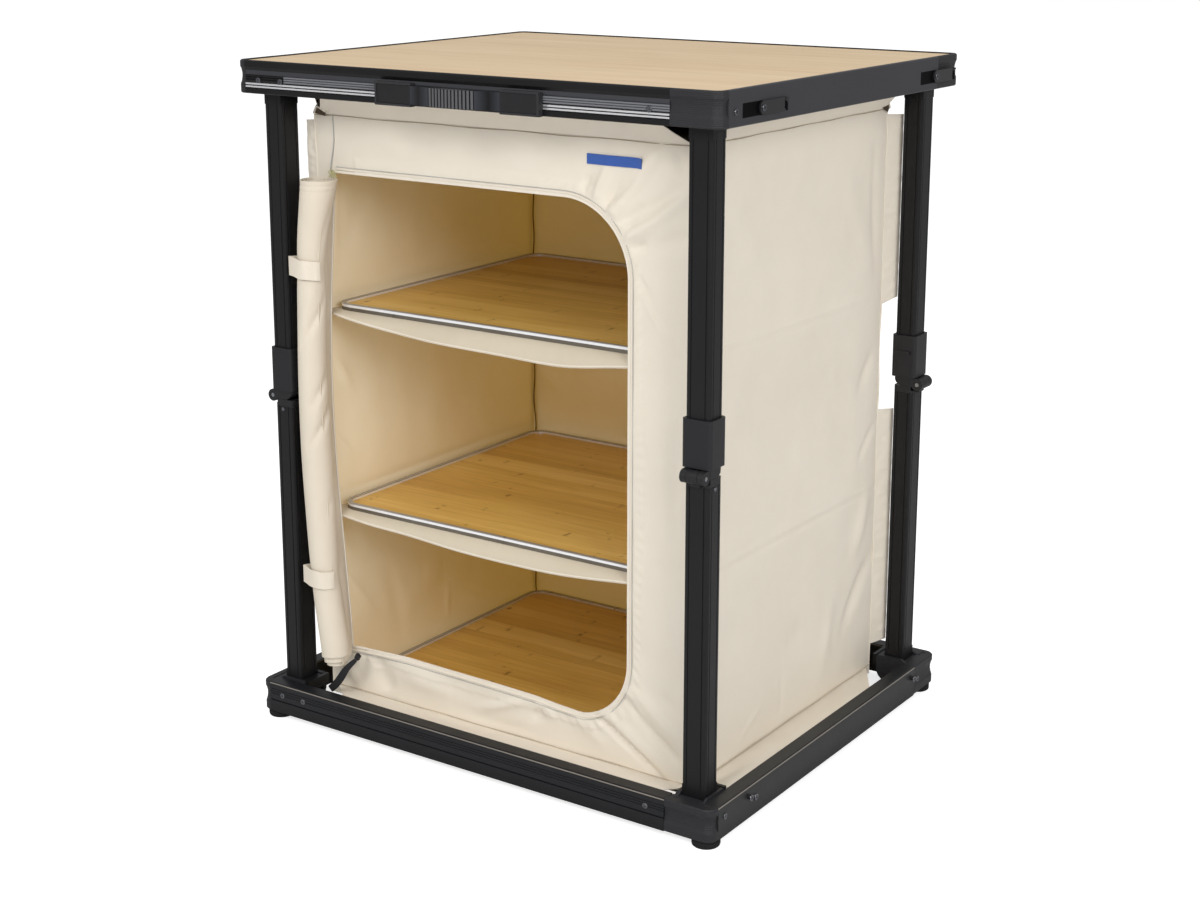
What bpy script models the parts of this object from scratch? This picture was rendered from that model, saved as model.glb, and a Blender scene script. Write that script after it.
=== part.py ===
"""Folding camping cupboard: base and top frames on four two-part legs, with a cloth cabinet between them.

Everything is in metres. The frame's origin is on the floor under the middle of the object's box. The four
corners are alike, each turned a quarter from the last, so one corner is described once in its own frame: its
outer corner at x = 0, y = 0, the frame in x < 0 and y > 0, and its leg folding inwards along +y.
"""

import math

import bmesh
import bpy
from mathutils import Matrix, Vector

# Overall sizes
WIDTH = 0.660
DEPTH = 0.560
HEIGHT = 0.820
FOOT_HEIGHT = 0.0095
FOOT_RADIUS = 0.016
FOOT_INSET = 0.017

# What touching pieces keep between them, and what turns or slides keeps
GAP = 0.0003
RUN = 0.0004
WELD = 1e-6

# The rails of both frames, and the moulded corners between them
FRAME_HEIGHT = 0.0385
RAIL_THICK = 0.018
RAIL_WALL = 0.002
RAIL_FACE_WALL = 0.004
RAIL_ROUND = 0.002
GROOVE_DEPTH = 0.0015
BORE_ROUND = 0.0004
CORNER_ROUND = 0.012
LONG_ARM = 0.061
SHORT_ARM = 0.014
SKIN = 0.009
WAIST_DEPTH = 0.0022
TENON = 0.018
LIP_THICK = 0.004
PANEL_THICK = 0.006
PANEL_SINK = 0.0015
PANEL_ROUND = 0.009

# The legs, in the corner's frame
LEG_INSET_X = 0.022
LEG_INSET_Y = 0.022
LEG_WIDE = 0.030
LEG_DEEP = 0.026
LEG_WALL = 0.002
LEG_ROUND = 0.003
LEG_GROOVE = 0.0008
PIVOT_FROM_INSIDE = 0.008
PIVOT_RADIUS = 0.004
BASE_PIVOT_HEIGHT = 0.0235
TOP_PIVOT_HEIGHT = 0.013
SHOE_LENGTH = 0.027
CHEEK_THICK = 0.005
POCKET_CLEAR = 0.0005
EAR_RADIUS = 0.0165
EAR_RISE = 0.003
TOP_EAR_RADIUS = 0.013
POCKET_FLOOR = 0.003
HEEL_LOW = 0.004
HEEL_THICK = 0.0045

# The knee of each leg, and the sleeve above it
KNEE_PROUD = 0.005
KNUCKLE_RADIUS = 0.0075
KNUCKLE_OUTER = 0.0073
KNEE_PIN_RADIUS = 0.0025
KNEE_SPLIT = 0.003
CAP_HEIGHT = 0.0085
LUG_HEIGHT = 0.029
LUG_ROUND = 0.012
PLUG_LENGTH = 0.020
SLEEVE_HEIGHT = 0.053
SLEEVE_WALL = 0.0026
SLEEVE_LIFT = 0.001
RIDGE_PROUD = 0.0018
RIDGE_HEIGHT = 0.004

# The carrying handle on the front top rail
HANDLE_RISE = 0.01275
HANDLE_LENGTH = 0.224
HANDLE_HEIGHT = 0.026
HANDLE_BOW = 0.0125
STRAP_THICK = 0.004
STRAP_EASE = 0.012
STRAP_STEPS = 32
BRACKET_LENGTH = 0.051
BRACKET_PROUD = 0.0075
BRACKET_WALL = 0.0025
GRIP_LENGTH = 0.062
GRIP_RIBS = 14

# The catches that hold the folded frames together
CATCH_REACH = 0.046
CATCH_TAIL = 0.005
CATCH_WIDTH = 0.0145
CATCH_THICK = 0.0025
CATCH_STUD_RADIUS = 0.0025
CATCH_RISE = 0.0156
CATCH_NEAR_END = 0.0795
CATCH_FAR_END = 0.0695
BASE_STUD_RADIUS = 0.003

# The cabinet of cloth
CABINET_INSET = 0.0635
CABINET_BOTTOM = 0.026
CABINET_DROP = 0.062
CLOTH = 0.0015
SEAM = 0.0004
PANEL_DRAW = 0.0035
OPENING_LEFT_EDGE = 0.021
OPENING_RIGHT_EDGE = 0.088
OPENING_SILL = 0.066
OPENING_HEAD = 0.071
OPENING_ROUND_HIGH = 0.085
OPENING_ROUND_LOW = 0.070
TOP_FLAP_RISE = 0.034
FLAP_START = 0.008
FLAP_BACK = 0.0006
LEG_FLAP = 0.014
LIP_DROP = 0.006
LIP_SAG = 0.0145

# How far in from the cabinet's corners a flap's two ends lie at the rail, above and below
LONG_FLAP_ENDS = ((0.050, 0.019), (0.056, 0.013))
SHORT_FLAP_ENDS = ((0.030, 0.040), (0.002, 0.087))

# The three shelves, by the height of each board's top
SHELVES = {"lower": 0.0335, "middle": 0.2705, "upper": 0.5225}
SHELF_CLEAR = 0.003
BOARD_THICK = 0.0045
RIM_HIGH = 0.008
RIM_WIDE = 0.005
SHELF_ROUND = 0.022
SHELF_FRONT = 0.014

# The door, rolled up at the left. The roll's middle lies this far in from the cabinet's left edge
ROLL_RADIUS = 0.023
ROLL_HANG = 0.014
ROLL_NECK = 0.006
ROLL_FOOT = 0.031
ROLL_BOW = 0.012
ROLL_HEAD = 0.0165
ROLL_STRAPS = (0.175, 0.81)
ROLL_PINCH = 0.86

# Worked out from the above
HALF_W = WIDTH / 2
HALF_D = DEPTH / 2
BASE_LOW = FOOT_HEIGHT
BASE_HIGH = FOOT_HEIGHT + FRAME_HEIGHT
TOP_LOW = HEIGHT - FRAME_HEIGHT
PANEL_HIGH = HEIGHT - PANEL_SINK
PANEL_LOW = PANEL_HIGH - PANEL_THICK
STEP = PANEL_LOW - GAP
LEG_X = (-LEG_INSET_X - LEG_WIDE, -LEG_INSET_X)
LEG_Y = (LEG_INSET_Y, LEG_INSET_Y + LEG_DEEP)
LEG_MID = sum(LEG_X) / 2
PIVOT_Y = LEG_Y[1] - PIVOT_FROM_INSIDE
BASE_PIVOT = BASE_LOW + BASE_PIVOT_HEIGHT
TOP_PIVOT = TOP_LOW + TOP_PIVOT_HEIGHT
KNEE_Y = LEG_Y[0] - KNEE_PROUD
KNEE_Z = (BASE_PIVOT + TOP_PIVOT) / 2
CAP_TOP = KNEE_Z - KNEE_SPLIT - GAP
LUG_LOW = KNEE_Z - KNEE_SPLIT
LUG_HIGH = LUG_LOW + LUG_HEIGHT
LOWER_TUBE_TOP = CAP_TOP - CAP_HEIGHT - GAP
SLEEVE_LOW = KNEE_Z + KNUCKLE_RADIUS + SLEEVE_LIFT
HANDLE_Z = TOP_LOW + HANDLE_RISE
FRONT_REACH = HANDLE_BOW + STRAP_THICK
CATCH_Z = TOP_LOW + CATCH_RISE
CABINET_X = HALF_W - CABINET_INSET
CABINET_Y = HALF_D - CABINET_INSET
CABINET_TOP = HEIGHT - CABINET_DROP
OPENING_X = (-CABINET_X + OPENING_LEFT_EDGE, CABINET_X - OPENING_RIGHT_EDGE)
OPENING_Z = (CABINET_BOTTOM + OPENING_SILL, CABINET_TOP - OPENING_HEAD)
FOLD_DROP = (TOP_PIVOT - BASE_PIVOT) - 2 * (PIVOT_Y - KNEE_Y)
CORNERS = {"fr": (1, -1, 0), "rr": (1, 1, 90), "rl": (-1, 1, 180), "fl": (-1, -1, 270)}
SIDES = {"fr": "front", "rr": "right", "rl": "rear", "fl": "left"}
TURNS = {"front": 0, "right": 90, "rear": 180, "left": 270}

COLOURS = {
    "black_aluminium": ((0.030, 0.031, 0.034), 0.38, 0.7),
    "black_plastic": ((0.035, 0.036, 0.039), 0.5, 0.0),
    "bright_steel": ((0.55, 0.56, 0.58), 0.3, 1.0),
    "wood_panel": ((0.62, 0.46, 0.30), 0.45, 0.0),
    "bamboo": ((0.55, 0.32, 0.10), 0.4, 0.0),
    "silver_tube": ((0.6, 0.6, 0.6), 0.3, 1.0),
    "cream_cloth": ((0.74, 0.66, 0.54), 0.85, 0.0),
    "black_rubber": ((0.02, 0.02, 0.02), 0.75, 0.0),
}


def clear_scene():
    for thing in list(bpy.data.objects):
        bpy.data.objects.remove(thing)


def new_collection(name):
    group = bpy.data.collections.new(name)
    bpy.context.scene.collection.children.link(group)
    return group


def new_material(name):
    colour, roughness, metallic = COLOURS[name]
    made = bpy.data.materials.new(name)
    made.use_nodes = True
    shader = made.node_tree.nodes["Principled BSDF"]
    shader.inputs["Base Color"].default_value = (*colour, 1)
    shader.inputs["Roughness"].default_value = roughness
    shader.inputs["Metallic"].default_value = metallic
    made.diffuse_color = (*colour, 1)
    return made


def evaluated(thing):
    """The mesh that an object of the workshop gives, with the object then removed."""
    bpy.context.view_layer.update()
    seen = thing.evaluated_get(bpy.context.evaluated_depsgraph_get())
    mesh = bpy.data.meshes.new_from_object(seen)
    mesh.transform(thing.matrix_world)
    bpy.data.objects.remove(thing)
    return mesh


def tidied(mesh):
    """Welds a mesh's loose caps, takes out faces with no area and turns the rest outwards."""
    shape = bmesh.new()
    shape.from_mesh(mesh)
    bmesh.ops.remove_doubles(shape, verts=shape.verts, dist=WELD)
    bmesh.ops.dissolve_degenerate(shape, edges=shape.edges, dist=WELD)
    bmesh.ops.recalc_face_normals(shape, faces=shape.faces)
    shape.to_mesh(mesh)
    shape.free()
    return mesh


# Where a flat outline's own x, y and z lie when it is pulled along X, Y or Z
PULLS = {
    "X": Matrix(((0, 0, 1), (1, 0, 0), (0, 1, 0))).to_4x4(),
    "Y": Matrix(((1, 0, 0), (0, 0, -1), (0, 1, 0))).to_4x4(),
    "Z": Matrix.Identity(4),
}


def prism(loops, along, low, high):
    """Pulls a flat outline from low to high along an axis. Its inner loops are holes.

    The outline is in y, z when it is pulled along X, in x, z along Y, and in x, y along Z.
    """
    curve = bpy.data.curves.new("outline", "CURVE")
    curve.dimensions = "2D"
    curve.fill_mode = "BOTH"
    curve.extrude = (high - low) / 2
    for loop in loops:
        spline = curve.splines.new("POLY")
        spline.points.add(len(loop) - 1)
        for point, (u, v) in zip(spline.points, loop):
            point.co = (u, v, 0, 1)
        spline.use_cyclic_u = True
    guide = bpy.data.objects.new("outline", curve)
    workshop.objects.link(guide)
    middle = Vector([(low + high) / 2 if axis == along else 0 for axis in "XYZ"])
    guide.matrix_world = Matrix.Translation(middle) @ PULLS[along]
    return tidied(evaluated(guide))


def box(x, y, z):
    """A box from its low and high x, y and z."""
    low, high = Vector((x[0], y[0], z[0])), Vector((x[1], y[1], z[1]))
    mesh = bpy.data.meshes.new("box")
    shape = bmesh.new()
    place = Matrix.Translation((low + high) / 2) @ Matrix.Diagonal((*(high - low), 1))
    bmesh.ops.create_cube(shape, size=1, matrix=place)
    shape.to_mesh(mesh)
    shape.free()
    return mesh


def rod(along, centre, radius, low, high, sides=20):
    """A round bar along X, Y or Z. centre is its place on the two other axes."""
    spot = list(centre)
    spot.insert("XYZ".index(along), (low + high) / 2)
    turn = {"X": Matrix.Rotation(math.pi / 2, 4, "Y"), "Y": Matrix.Rotation(math.pi / 2, 4, "X")}
    mesh = bpy.data.meshes.new("rod")
    shape = bmesh.new()
    bmesh.ops.create_cone(
        shape, cap_ends=True, segments=sides, radius1=radius, radius2=radius, depth=high - low,
        matrix=Matrix.Translation(spot) @ turn.get(along, Matrix.Identity(4)),
    )
    shape.to_mesh(mesh)
    shape.free()
    return mesh


def boolean(mesh, tool, operation, solver="EXACT"):
    """One mesh cut by another, or joined to it."""
    piece = bpy.data.objects.new("piece", mesh)
    cutter = bpy.data.objects.new("cutter", tool)
    for thing in (piece, cutter):
        workshop.objects.link(thing)
    cutter.display_type = "WIRE"
    change = piece.modifiers.new(operation.lower(), "BOOLEAN")
    change.operation = operation
    change.solver = solver
    change.object = cutter
    made = tidied(evaluated(piece))
    bpy.data.objects.remove(cutter)
    return made


def joined(mesh, *others, solver="EXACT"):
    for other in others:
        mesh = boolean(mesh, other, "UNION", solver)
    return mesh


def cut(mesh, *tools, solver="EXACT"):
    for tool in tools:
        mesh = boolean(mesh, tool, "DIFFERENCE", solver)
    return mesh


def arc(centre, radius, start, end, steps):
    """Points of an arc, from one angle in degrees to another."""
    angles = [math.radians(start + (end - start) * i / steps) for i in range(steps + 1)]
    return [(centre[0] + radius * math.cos(a), centre[1] + radius * math.sin(a)) for a in angles]


def round_rectangle(x, y, radius, steps=3):
    """A rectangle's outline with round corners, from its low and high x and y."""
    points = []
    for cx, cy, start in (
        (x[1] - radius, y[1] - radius, 0),
        (x[0] + radius, y[1] - radius, 90),
        (x[0] + radius, y[0] + radius, 180),
        (x[1] - radius, y[0] + radius, 270),
    ):
        points += arc((cx, cy), radius, start, start + 90, steps)
    return points


def grown(span, by):
    """A low and high pair, moved apart by a distance."""
    return (span[0] - by, span[1] + by)


def empty(name, location, parent=None, turn=0):
    """A plain axes empty in its parent's frame, which pieces hang on."""
    made = bpy.data.objects.new(name, None)
    made.empty_display_size = 0.02
    made.location = location
    made.rotation_euler.z = math.radians(turn)
    made.parent = parent
    cupboard.objects.link(made)
    return made


def node(name, mesh, material, parent, origin=(0, 0, 0)):
    """A finished piece. origin is its parent's place in the frame that the mesh was drawn in."""
    if any(origin):
        mesh = mesh.copy()
        mesh.transform(Matrix.Translation(-Vector(origin)))
    if not mesh.materials:
        mesh.materials.append(materials[material])
    mesh.shade_smooth()
    mesh.set_sharp_from_angle(angle=math.radians(35))
    made = bpy.data.objects.new(name, mesh)
    made.parent = parent
    cupboard.objects.link(made)
    return made


def base_face(grooved):
    """The outer face of a base rail, bottom to top: inset from the face, and height above the rail's foot."""
    face = [(0.0, 0.0)]
    if grooved:
        for height, deep in ((0.4, 1.0), (0.62, 0.5), (0.7, 0.5), (0.78, 0.5)):
            middle = FRAME_HEIGHT * height
            half = GROOVE_DEPTH * 0.6
            face += [(0, middle - half), (GROOVE_DEPTH * deep, middle - half / 2)]
            face += [(GROOVE_DEPTH * deep, middle + half / 2), (0, middle + half)]
    top = FRAME_HEIGHT - RAIL_ROUND
    return face + [(RAIL_ROUND - u, top + v) for u, v in arc((0, 0), RAIL_ROUND, 0, 90, 3)]


def top_face(grooved):
    """The outer face of a top rail, bottom to top, in the same terms."""
    face = [(RAIL_ROUND / 2, 0.0), (0.0, RAIL_ROUND / 2)]
    if grooved:
        # The bottom lip, two proud lines, a finely ribbed band, a hollow band and the round lip above it
        shelf = FRAME_HEIGHT * 0.16
        face += [(0, shelf), (GROOVE_DEPTH, shelf + 0.0006)]
        for line in range(2):
            low = shelf + 0.0012 + line * 0.0033
            face += [(GROOVE_DEPTH * 0.2, low), (GROOVE_DEPTH * 0.2, low + 0.0018), (GROOVE_DEPTH, low + 0.0021)]
        low = shelf + 0.0085
        for rib in range(3):
            foot = low + rib * 0.0026
            face += [(GROOVE_DEPTH * 0.5, foot), (GROOVE_DEPTH * 0.5, foot + 0.0014), (GROOVE_DEPTH, foot + 0.0018)]
        band = low + 0.0088
        face += [(GROOVE_DEPTH * 0.4, band), (GROOVE_DEPTH * 1.2, band + 0.0035), (0, FRAME_HEIGHT * 0.8)]
    top = FRAME_HEIGHT - RAIL_ROUND
    return face + [(RAIL_ROUND - u, top + v) for u, v in arc((0, 0), RAIL_ROUND, 0, 90, 3)]


def cavity(step_height):
    """The hollow of a rail: its low and high inset from the outer face, and low and high height."""
    return (RAIL_FACE_WALL + 0.0005, RAIL_THICK - RAIL_WALL), (RAIL_WALL, step_height - RAIL_WALL)


def rail_mesh(length, foot, face, is_top):
    """A hollow rail along a corner's long arm, in that corner's frame, from this corner's arm to the next."""
    step_height = STEP - TOP_LOW if is_top else FRAME_HEIGHT
    outline = [(u, foot + v) for u, v in face]
    if is_top:
        outline += [(LIP_THICK, foot + FRAME_HEIGHT), (LIP_THICK, foot + step_height)]
    outline += [(RAIL_THICK, foot + step_height), (RAIL_THICK, foot)]
    inset, height = cavity(step_height)
    hollow = round_rectangle(inset, (foot + height[0], foot + height[1]), BORE_ROUND, 1)
    return prism([outline, hollow], "X", -(length - SHORT_ARM - GAP), -(LONG_ARM + GAP))


def corner_skin(foot, is_top):
    """The rounded outer band of a corner, swept round it. It is drawn in at the waist."""
    low, high = 0.0, FRAME_HEIGHT
    waist = [(0, 0.20), (0, 0.27), (0.6, 0.36), (1.0, 0.5), (1.0, 0.6), (0.6, 0.72), (0, 0.80)]
    profile = [(0.0012, low), (0, low + 0.0012)]
    profile += [(WAIST_DEPTH * deep, FRAME_HEIGHT * share) for deep, share in waist]
    profile += [(0, high - 0.0015), (0.0015, high)]
    if is_top:
        profile += [(LIP_THICK, high), (LIP_THICK, STEP - foot), (SKIN, STEP - foot), (SKIN, low)]
    else:
        profile += [(SKIN, high), (SKIN, low)]
    section = bpy.data.curves.new("section", "CURVE")
    section.dimensions = "2D"
    drawn = section.splines.new("POLY")
    drawn.points.add(len(profile) - 1)
    # The path runs round the corner with its outer side on the right, which is the section's minus x
    for point, (inset, height) in zip(drawn.points, profile):
        point.co = (-inset, height, 0, 1)
    drawn.use_cyclic_u = True
    section_guide = bpy.data.objects.new("section", section)
    path = bpy.data.curves.new("path", "CURVE")
    path.dimensions = "2D"
    path.bevel_mode = "OBJECT"
    path.bevel_object = section_guide
    path.use_fill_caps = True
    route = path.splines.new("POLY")
    turn = arc((-CORNER_ROUND, CORNER_ROUND), CORNER_ROUND, -90, 0, 6)
    points = [(-LONG_ARM, 0)] + turn + [(0, SHORT_ARM)]
    route.points.add(len(points) - 1)
    for point, (x, y) in zip(route.points, points):
        point.co = (x, y, 0, 1)
    guide = bpy.data.objects.new("path", path)
    for thing in (section_guide, guide):
        workshop.objects.link(thing)
    guide.location.z = foot
    mesh = tidied(evaluated(guide))
    bpy.data.objects.remove(section_guide)
    return mesh


def corner_core(foot, is_top):
    """The inside of a corner behind its skin, with a tenon into each rail that it joins."""
    step_height = STEP - TOP_LOW if is_top else FRAME_HEIGHT
    inner = SKIN - 0.002
    edge = 0.0006
    height = (foot + edge, foot + step_height - edge)
    plan = [
        (-LONG_ARM + edge, inner), (-inner, inner), (-inner, SHORT_ARM - edge),
        (-RAIL_THICK, SHORT_ARM - edge), (-RAIL_THICK, RAIL_THICK), (-LONG_ARM + edge, RAIL_THICK),
    ]
    core = prism([plan], "Z", *height)
    inset, hollow = cavity(step_height)
    inset = grown(inset, -GAP)
    hollow = grown((foot + hollow[0], foot + hollow[1]), -GAP)
    long_tenon = box((-LONG_ARM - TENON, -LONG_ARM + 0.004), inset, hollow)
    short_tenon = box((-inset[1], -inset[0]), (SHORT_ARM - 0.004, SHORT_ARM + TENON), hollow)
    return joined(core, long_tenon, short_tenon)


def cheek_spans():
    """The x spans of the two cheeks that a leg turns between, and the span from one to the other."""
    left = (LEG_X[0] - POCKET_CLEAR - CHEEK_THICK, LEG_X[0] - POCKET_CLEAR)
    right = (LEG_X[1] + POCKET_CLEAR, -RAIL_THICK - GAP)
    return left, right, (left[0], right[1])


def base_corner_mesh():
    """A corner of the base frame, with the pocket, ears and pin that a leg's foot turns in."""
    left, right, across = cheek_spans()
    wall = (RAIL_THICK - 0.002, LEG_Y[0] - POCKET_CLEAR)
    pin = (PIVOT_Y, BASE_PIVOT)
    ear_top = BASE_HIGH + EAR_RISE
    ear_round = 0.003
    floor_end = PIVOT_Y + 0.002
    start = -math.degrees(math.acos((floor_end - PIVOT_Y) / EAR_RADIUS))
    ear_end = PIVOT_Y + EAR_RADIUS
    ear = [(wall[0], BASE_LOW + 0.0006), (floor_end, BASE_LOW + 0.0006)]
    ear += arc(pin, EAR_RADIUS, start, 0, 7)
    ear += arc((ear_end - ear_round, ear_top - ear_round), ear_round, 0, 90, 3)
    ear += [(LEG_Y[0], ear_top), (wall[0], BASE_HIGH - 0.0006)]
    pocket_wall = box(grown(across, -0.0005), wall, (BASE_LOW + 0.0008, BASE_HIGH - 0.0008))
    floor = box(grown(across, -0.0005), (wall[0], floor_end - 0.0005), (BASE_LOW + 0.001, BASE_LOW + POCKET_FLOOR))
    return joined(
        corner_skin(BASE_LOW, False),
        corner_core(BASE_LOW, False),
        prism([ear], "X", *left),
        prism([ear], "X", *right),
        pocket_wall,
        floor,
        rod("X", pin, PIVOT_RADIUS, *grown(across, -0.001)),
    )


def top_corner_mesh():
    """A corner of the top frame, with the cheeks and pin that a leg's head turns in."""
    left, right, across = cheek_spans()
    wall = (RAIL_THICK - 0.002, LEG_Y[0] - POCKET_CLEAR)
    pin = (PIVOT_Y, TOP_PIVOT)
    roof = STEP - 0.0006
    cheek = [(wall[0], TOP_PIVOT - TOP_EAR_RADIUS + 0.0004), (PIVOT_Y, TOP_PIVOT - TOP_EAR_RADIUS + 0.0004)]
    cheek += arc(pin, TOP_EAR_RADIUS, -80, 0, 5)
    cheek += [(PIVOT_Y + TOP_EAR_RADIUS, roof), (wall[0], roof)]
    pocket_wall = box(grown(across, -0.0005), wall, (TOP_LOW + 0.0008, roof - 0.0004))
    return joined(
        corner_skin(TOP_LOW, True),
        corner_core(TOP_LOW, True),
        prism([cheek], "X", *left),
        prism([cheek], "X", *right),
        pocket_wall,
        rod("X", pin, PIVOT_RADIUS, *grown(across, -0.001)),
    )


def leg_outline():
    """A leg tube's outer outline, with a groove near each edge of its four faces."""
    x, y = LEG_X, LEG_Y
    r, g, w = LEG_ROUND, LEG_GROOVE, LEG_GROOVE
    points = []
    for cx, cy, start in (
        (x[1] - r, y[1] - r, 0), (x[0] + r, y[1] - r, 90), (x[0] + r, y[0] + r, 180), (x[1] - r, y[0] + r, 270),
    ):
        points += arc((cx, cy), r, start, start + 90, 2)
        along = Vector((math.cos(math.radians(start + 180)), math.sin(math.radians(start + 180))))
        inward = Vector((-along.y, along.x))
        if start in (0, 180):
            along, inward = along, Vector((0, -1 if start == 0 else 1))
            length = x[1] - x[0] - 2 * r
        else:
            inward = Vector((1 if start == 90 else -1, 0))
            length = y[1] - y[0] - 2 * r
        corner = Vector(points[-1])
        for spot in (0.003, length - 0.003):
            middle = corner + along * spot
            for step, deep in ((-w, 0), (-w / 2, g), (w / 2, g), (w, 0)):
                points.append(tuple(middle + along * step + inward * deep))
    return points


def tube(low, high):
    """A leg tube between two heights."""
    bore = round_rectangle(grown(LEG_X, -LEG_WALL), grown(LEG_Y, -LEG_WALL), BORE_ROUND, 1)
    return prism([leg_outline(), bore], "Z", low, high)


def plug(low, high):
    """What a fitting pushes into a leg tube."""
    inside = -LEG_WALL - GAP
    return box(grown(LEG_X, inside), grown(LEG_Y, inside), (low, high))


def shoe(pivot, up):
    """The solid end of a leg round its pivot. It is trimmed to the radius that turns in the pocket."""
    trim = PIVOT_Y - LEG_Y[0] - 0.0002
    edge = PIVOT_FROM_INSIDE - 0.0003
    start = math.degrees(math.asin(edge / trim))
    inside = 0.003
    outline = [(PIVOT_Y - trim, pivot + up * SHOE_LENGTH)]
    outline += [(u, pivot + up * (v - pivot)) for u, v in arc((PIVOT_Y, pivot), trim, 180, 180 + start, 4)]
    outline += [
        (u, pivot + up * (v - pivot))
        for u, v in arc((PIVOT_Y + edge - inside, pivot - edge + inside), inside, -90, 0, 3)
    ]
    outline += [(PIVOT_Y + edge, pivot + up * SHOE_LENGTH)]
    return prism([outline], "X", *grown(LEG_X, -0.0003))


def lower_leg_mesh():
    """A leg's lower tube, its foot and the heel whose plate stops against the ears."""
    left, right, across = cheek_spans()
    hole = rod("X", (PIVOT_Y, BASE_PIVOT), PIVOT_RADIUS + RUN, *grown(LEG_X, 0.01))
    plate_y = PIVOT_Y + EAR_RADIUS + POCKET_CLEAR
    heel_z = (BASE_PIVOT + HEEL_LOW, BASE_HIGH + EAR_RISE)
    web = box(grown(LEG_X, -0.002), (LEG_Y[1] - 0.003, plate_y + 0.001), grown(heel_z, -0.001))
    plate = box(grown(across, -0.0003), (plate_y, plate_y + HEEL_THICK), heel_z)
    leg = joined(shoe(BASE_PIVOT, 1), tube(BASE_PIVOT + SHOE_LENGTH - 0.008, LOWER_TUBE_TOP), web, plate)
    return cut(leg, hole)


def upper_leg_mesh():
    """A leg's upper tube and its head."""
    hole = rod("X", (PIVOT_Y, TOP_PIVOT), PIVOT_RADIUS + RUN, *grown(LEG_X, 0.01))
    leg = joined(shoe(TOP_PIVOT, -1), tube(LUG_HIGH + GAP, TOP_PIVOT - SHOE_LENGTH + 0.008))
    return cut(leg, hole)


def knuckle_spans():
    """The x spans of the knee's middle knuckle and its two outer ones, with the running gap between them."""
    left, right = grown(LEG_X, -0.0005)
    middle = (left + KNUCKLE_OUTER + RUN, right - KNUCKLE_OUTER - RUN)
    return middle, ((left, left + KNUCKLE_OUTER), (right - KNUCKLE_OUTER, right))


def knee_leaf(span, low, high):
    """A knuckle and the leaf that joins it to its fitting."""
    leaf = box(span, (KNEE_Y, LEG_Y[0] + 0.002), (low, high))
    return joined(rod("X", (KNEE_Y, KNEE_Z), KNUCKLE_RADIUS, *span), leaf)


def knee_notch(span):
    """The room that a fitting leaves for the other one's knuckle."""
    reach = KNUCKLE_RADIUS + 2 * RUN
    return box(
        grown(span, RUN), (KNEE_Y - reach, KNEE_Y + reach), (KNEE_Z - reach, KNEE_Z + reach)
    )


def knee_lower_mesh():
    """The cap on a lower tube, with the knee's middle knuckle."""
    middle, outer = knuckle_spans()
    cap_low = CAP_TOP - CAP_HEIGHT
    cap = prism([round_rectangle(LEG_X, LEG_Y, LEG_ROUND, 2)], "Z", cap_low, CAP_TOP)
    cap = cut(joined(cap, plug(cap_low - PLUG_LENGTH, cap_low + 0.002)), *[knee_notch(span) for span in outer])
    cap = joined(cap, knee_leaf(middle, cap_low + 0.001, KNEE_Z))
    return cut(cap, rod("X", (KNEE_Y, KNEE_Z), KNEE_PIN_RADIUS + GAP, *grown(LEG_X, 0.01), sides=14))


def knee_upper_mesh():
    """The lug under an upper tube, with the knee's two outer knuckles."""
    middle, outer = knuckle_spans()
    past = 0.0002
    side = [(LEG_Y[0] - 0.001, LUG_LOW - past)]
    side += arc((LEG_Y[1] - LUG_ROUND + past, LUG_LOW + LUG_ROUND - past), LUG_ROUND, -90, 0, 6)
    side += [(LEG_Y[1] + past, LUG_HIGH + 0.001), (LEG_Y[0] - 0.001, LUG_HIGH + 0.001)]
    block = prism([round_rectangle(LEG_X, LEG_Y, LEG_ROUND, 2)], "Z", LUG_LOW, LUG_HIGH)
    lug = boolean(block, prism([side], "X", *grown(LEG_X, 0.001)), "INTERSECT")
    lug = joined(lug, plug(LUG_HIGH - 0.002, LUG_HIGH + PLUG_LENGTH))
    lug = cut(lug, knee_notch(middle))
    lug = joined(lug, *[knee_leaf(span, KNEE_Z, KNEE_Z + KNUCKLE_RADIUS) for span in outer])
    return cut(lug, rod("X", (KNEE_Y, KNEE_Z), KNEE_PIN_RADIUS + GAP, *grown(LEG_X, 0.01), sides=14))


def sleeve_mesh():
    """The sleeve that slides on an upper leg, with a finger ridge towards the cabinet."""
    inner_x, inner_y = grown(LEG_X, RUN), grown(LEG_Y, RUN)
    outer_x, outer_y = grown(inner_x, SLEEVE_WALL), grown(inner_y, SLEEVE_WALL)
    shell = prism(
        [round_rectangle(outer_x, outer_y, 0.004), round_rectangle(inner_x, inner_y, LEG_ROUND, 2)],
        "Z", SLEEVE_LOW, SLEEVE_LOW + SLEEVE_HEIGHT,
    )
    middle = SLEEVE_LOW + SLEEVE_HEIGHT * 0.6
    ridge = box(
        (outer_x[0] - RIDGE_PROUD, outer_x[0] + 0.001), grown(outer_y, -0.007),
        (middle - RIDGE_HEIGHT / 2, middle + RIDGE_HEIGHT / 2),
    )
    return joined(shell, ridge)


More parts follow.
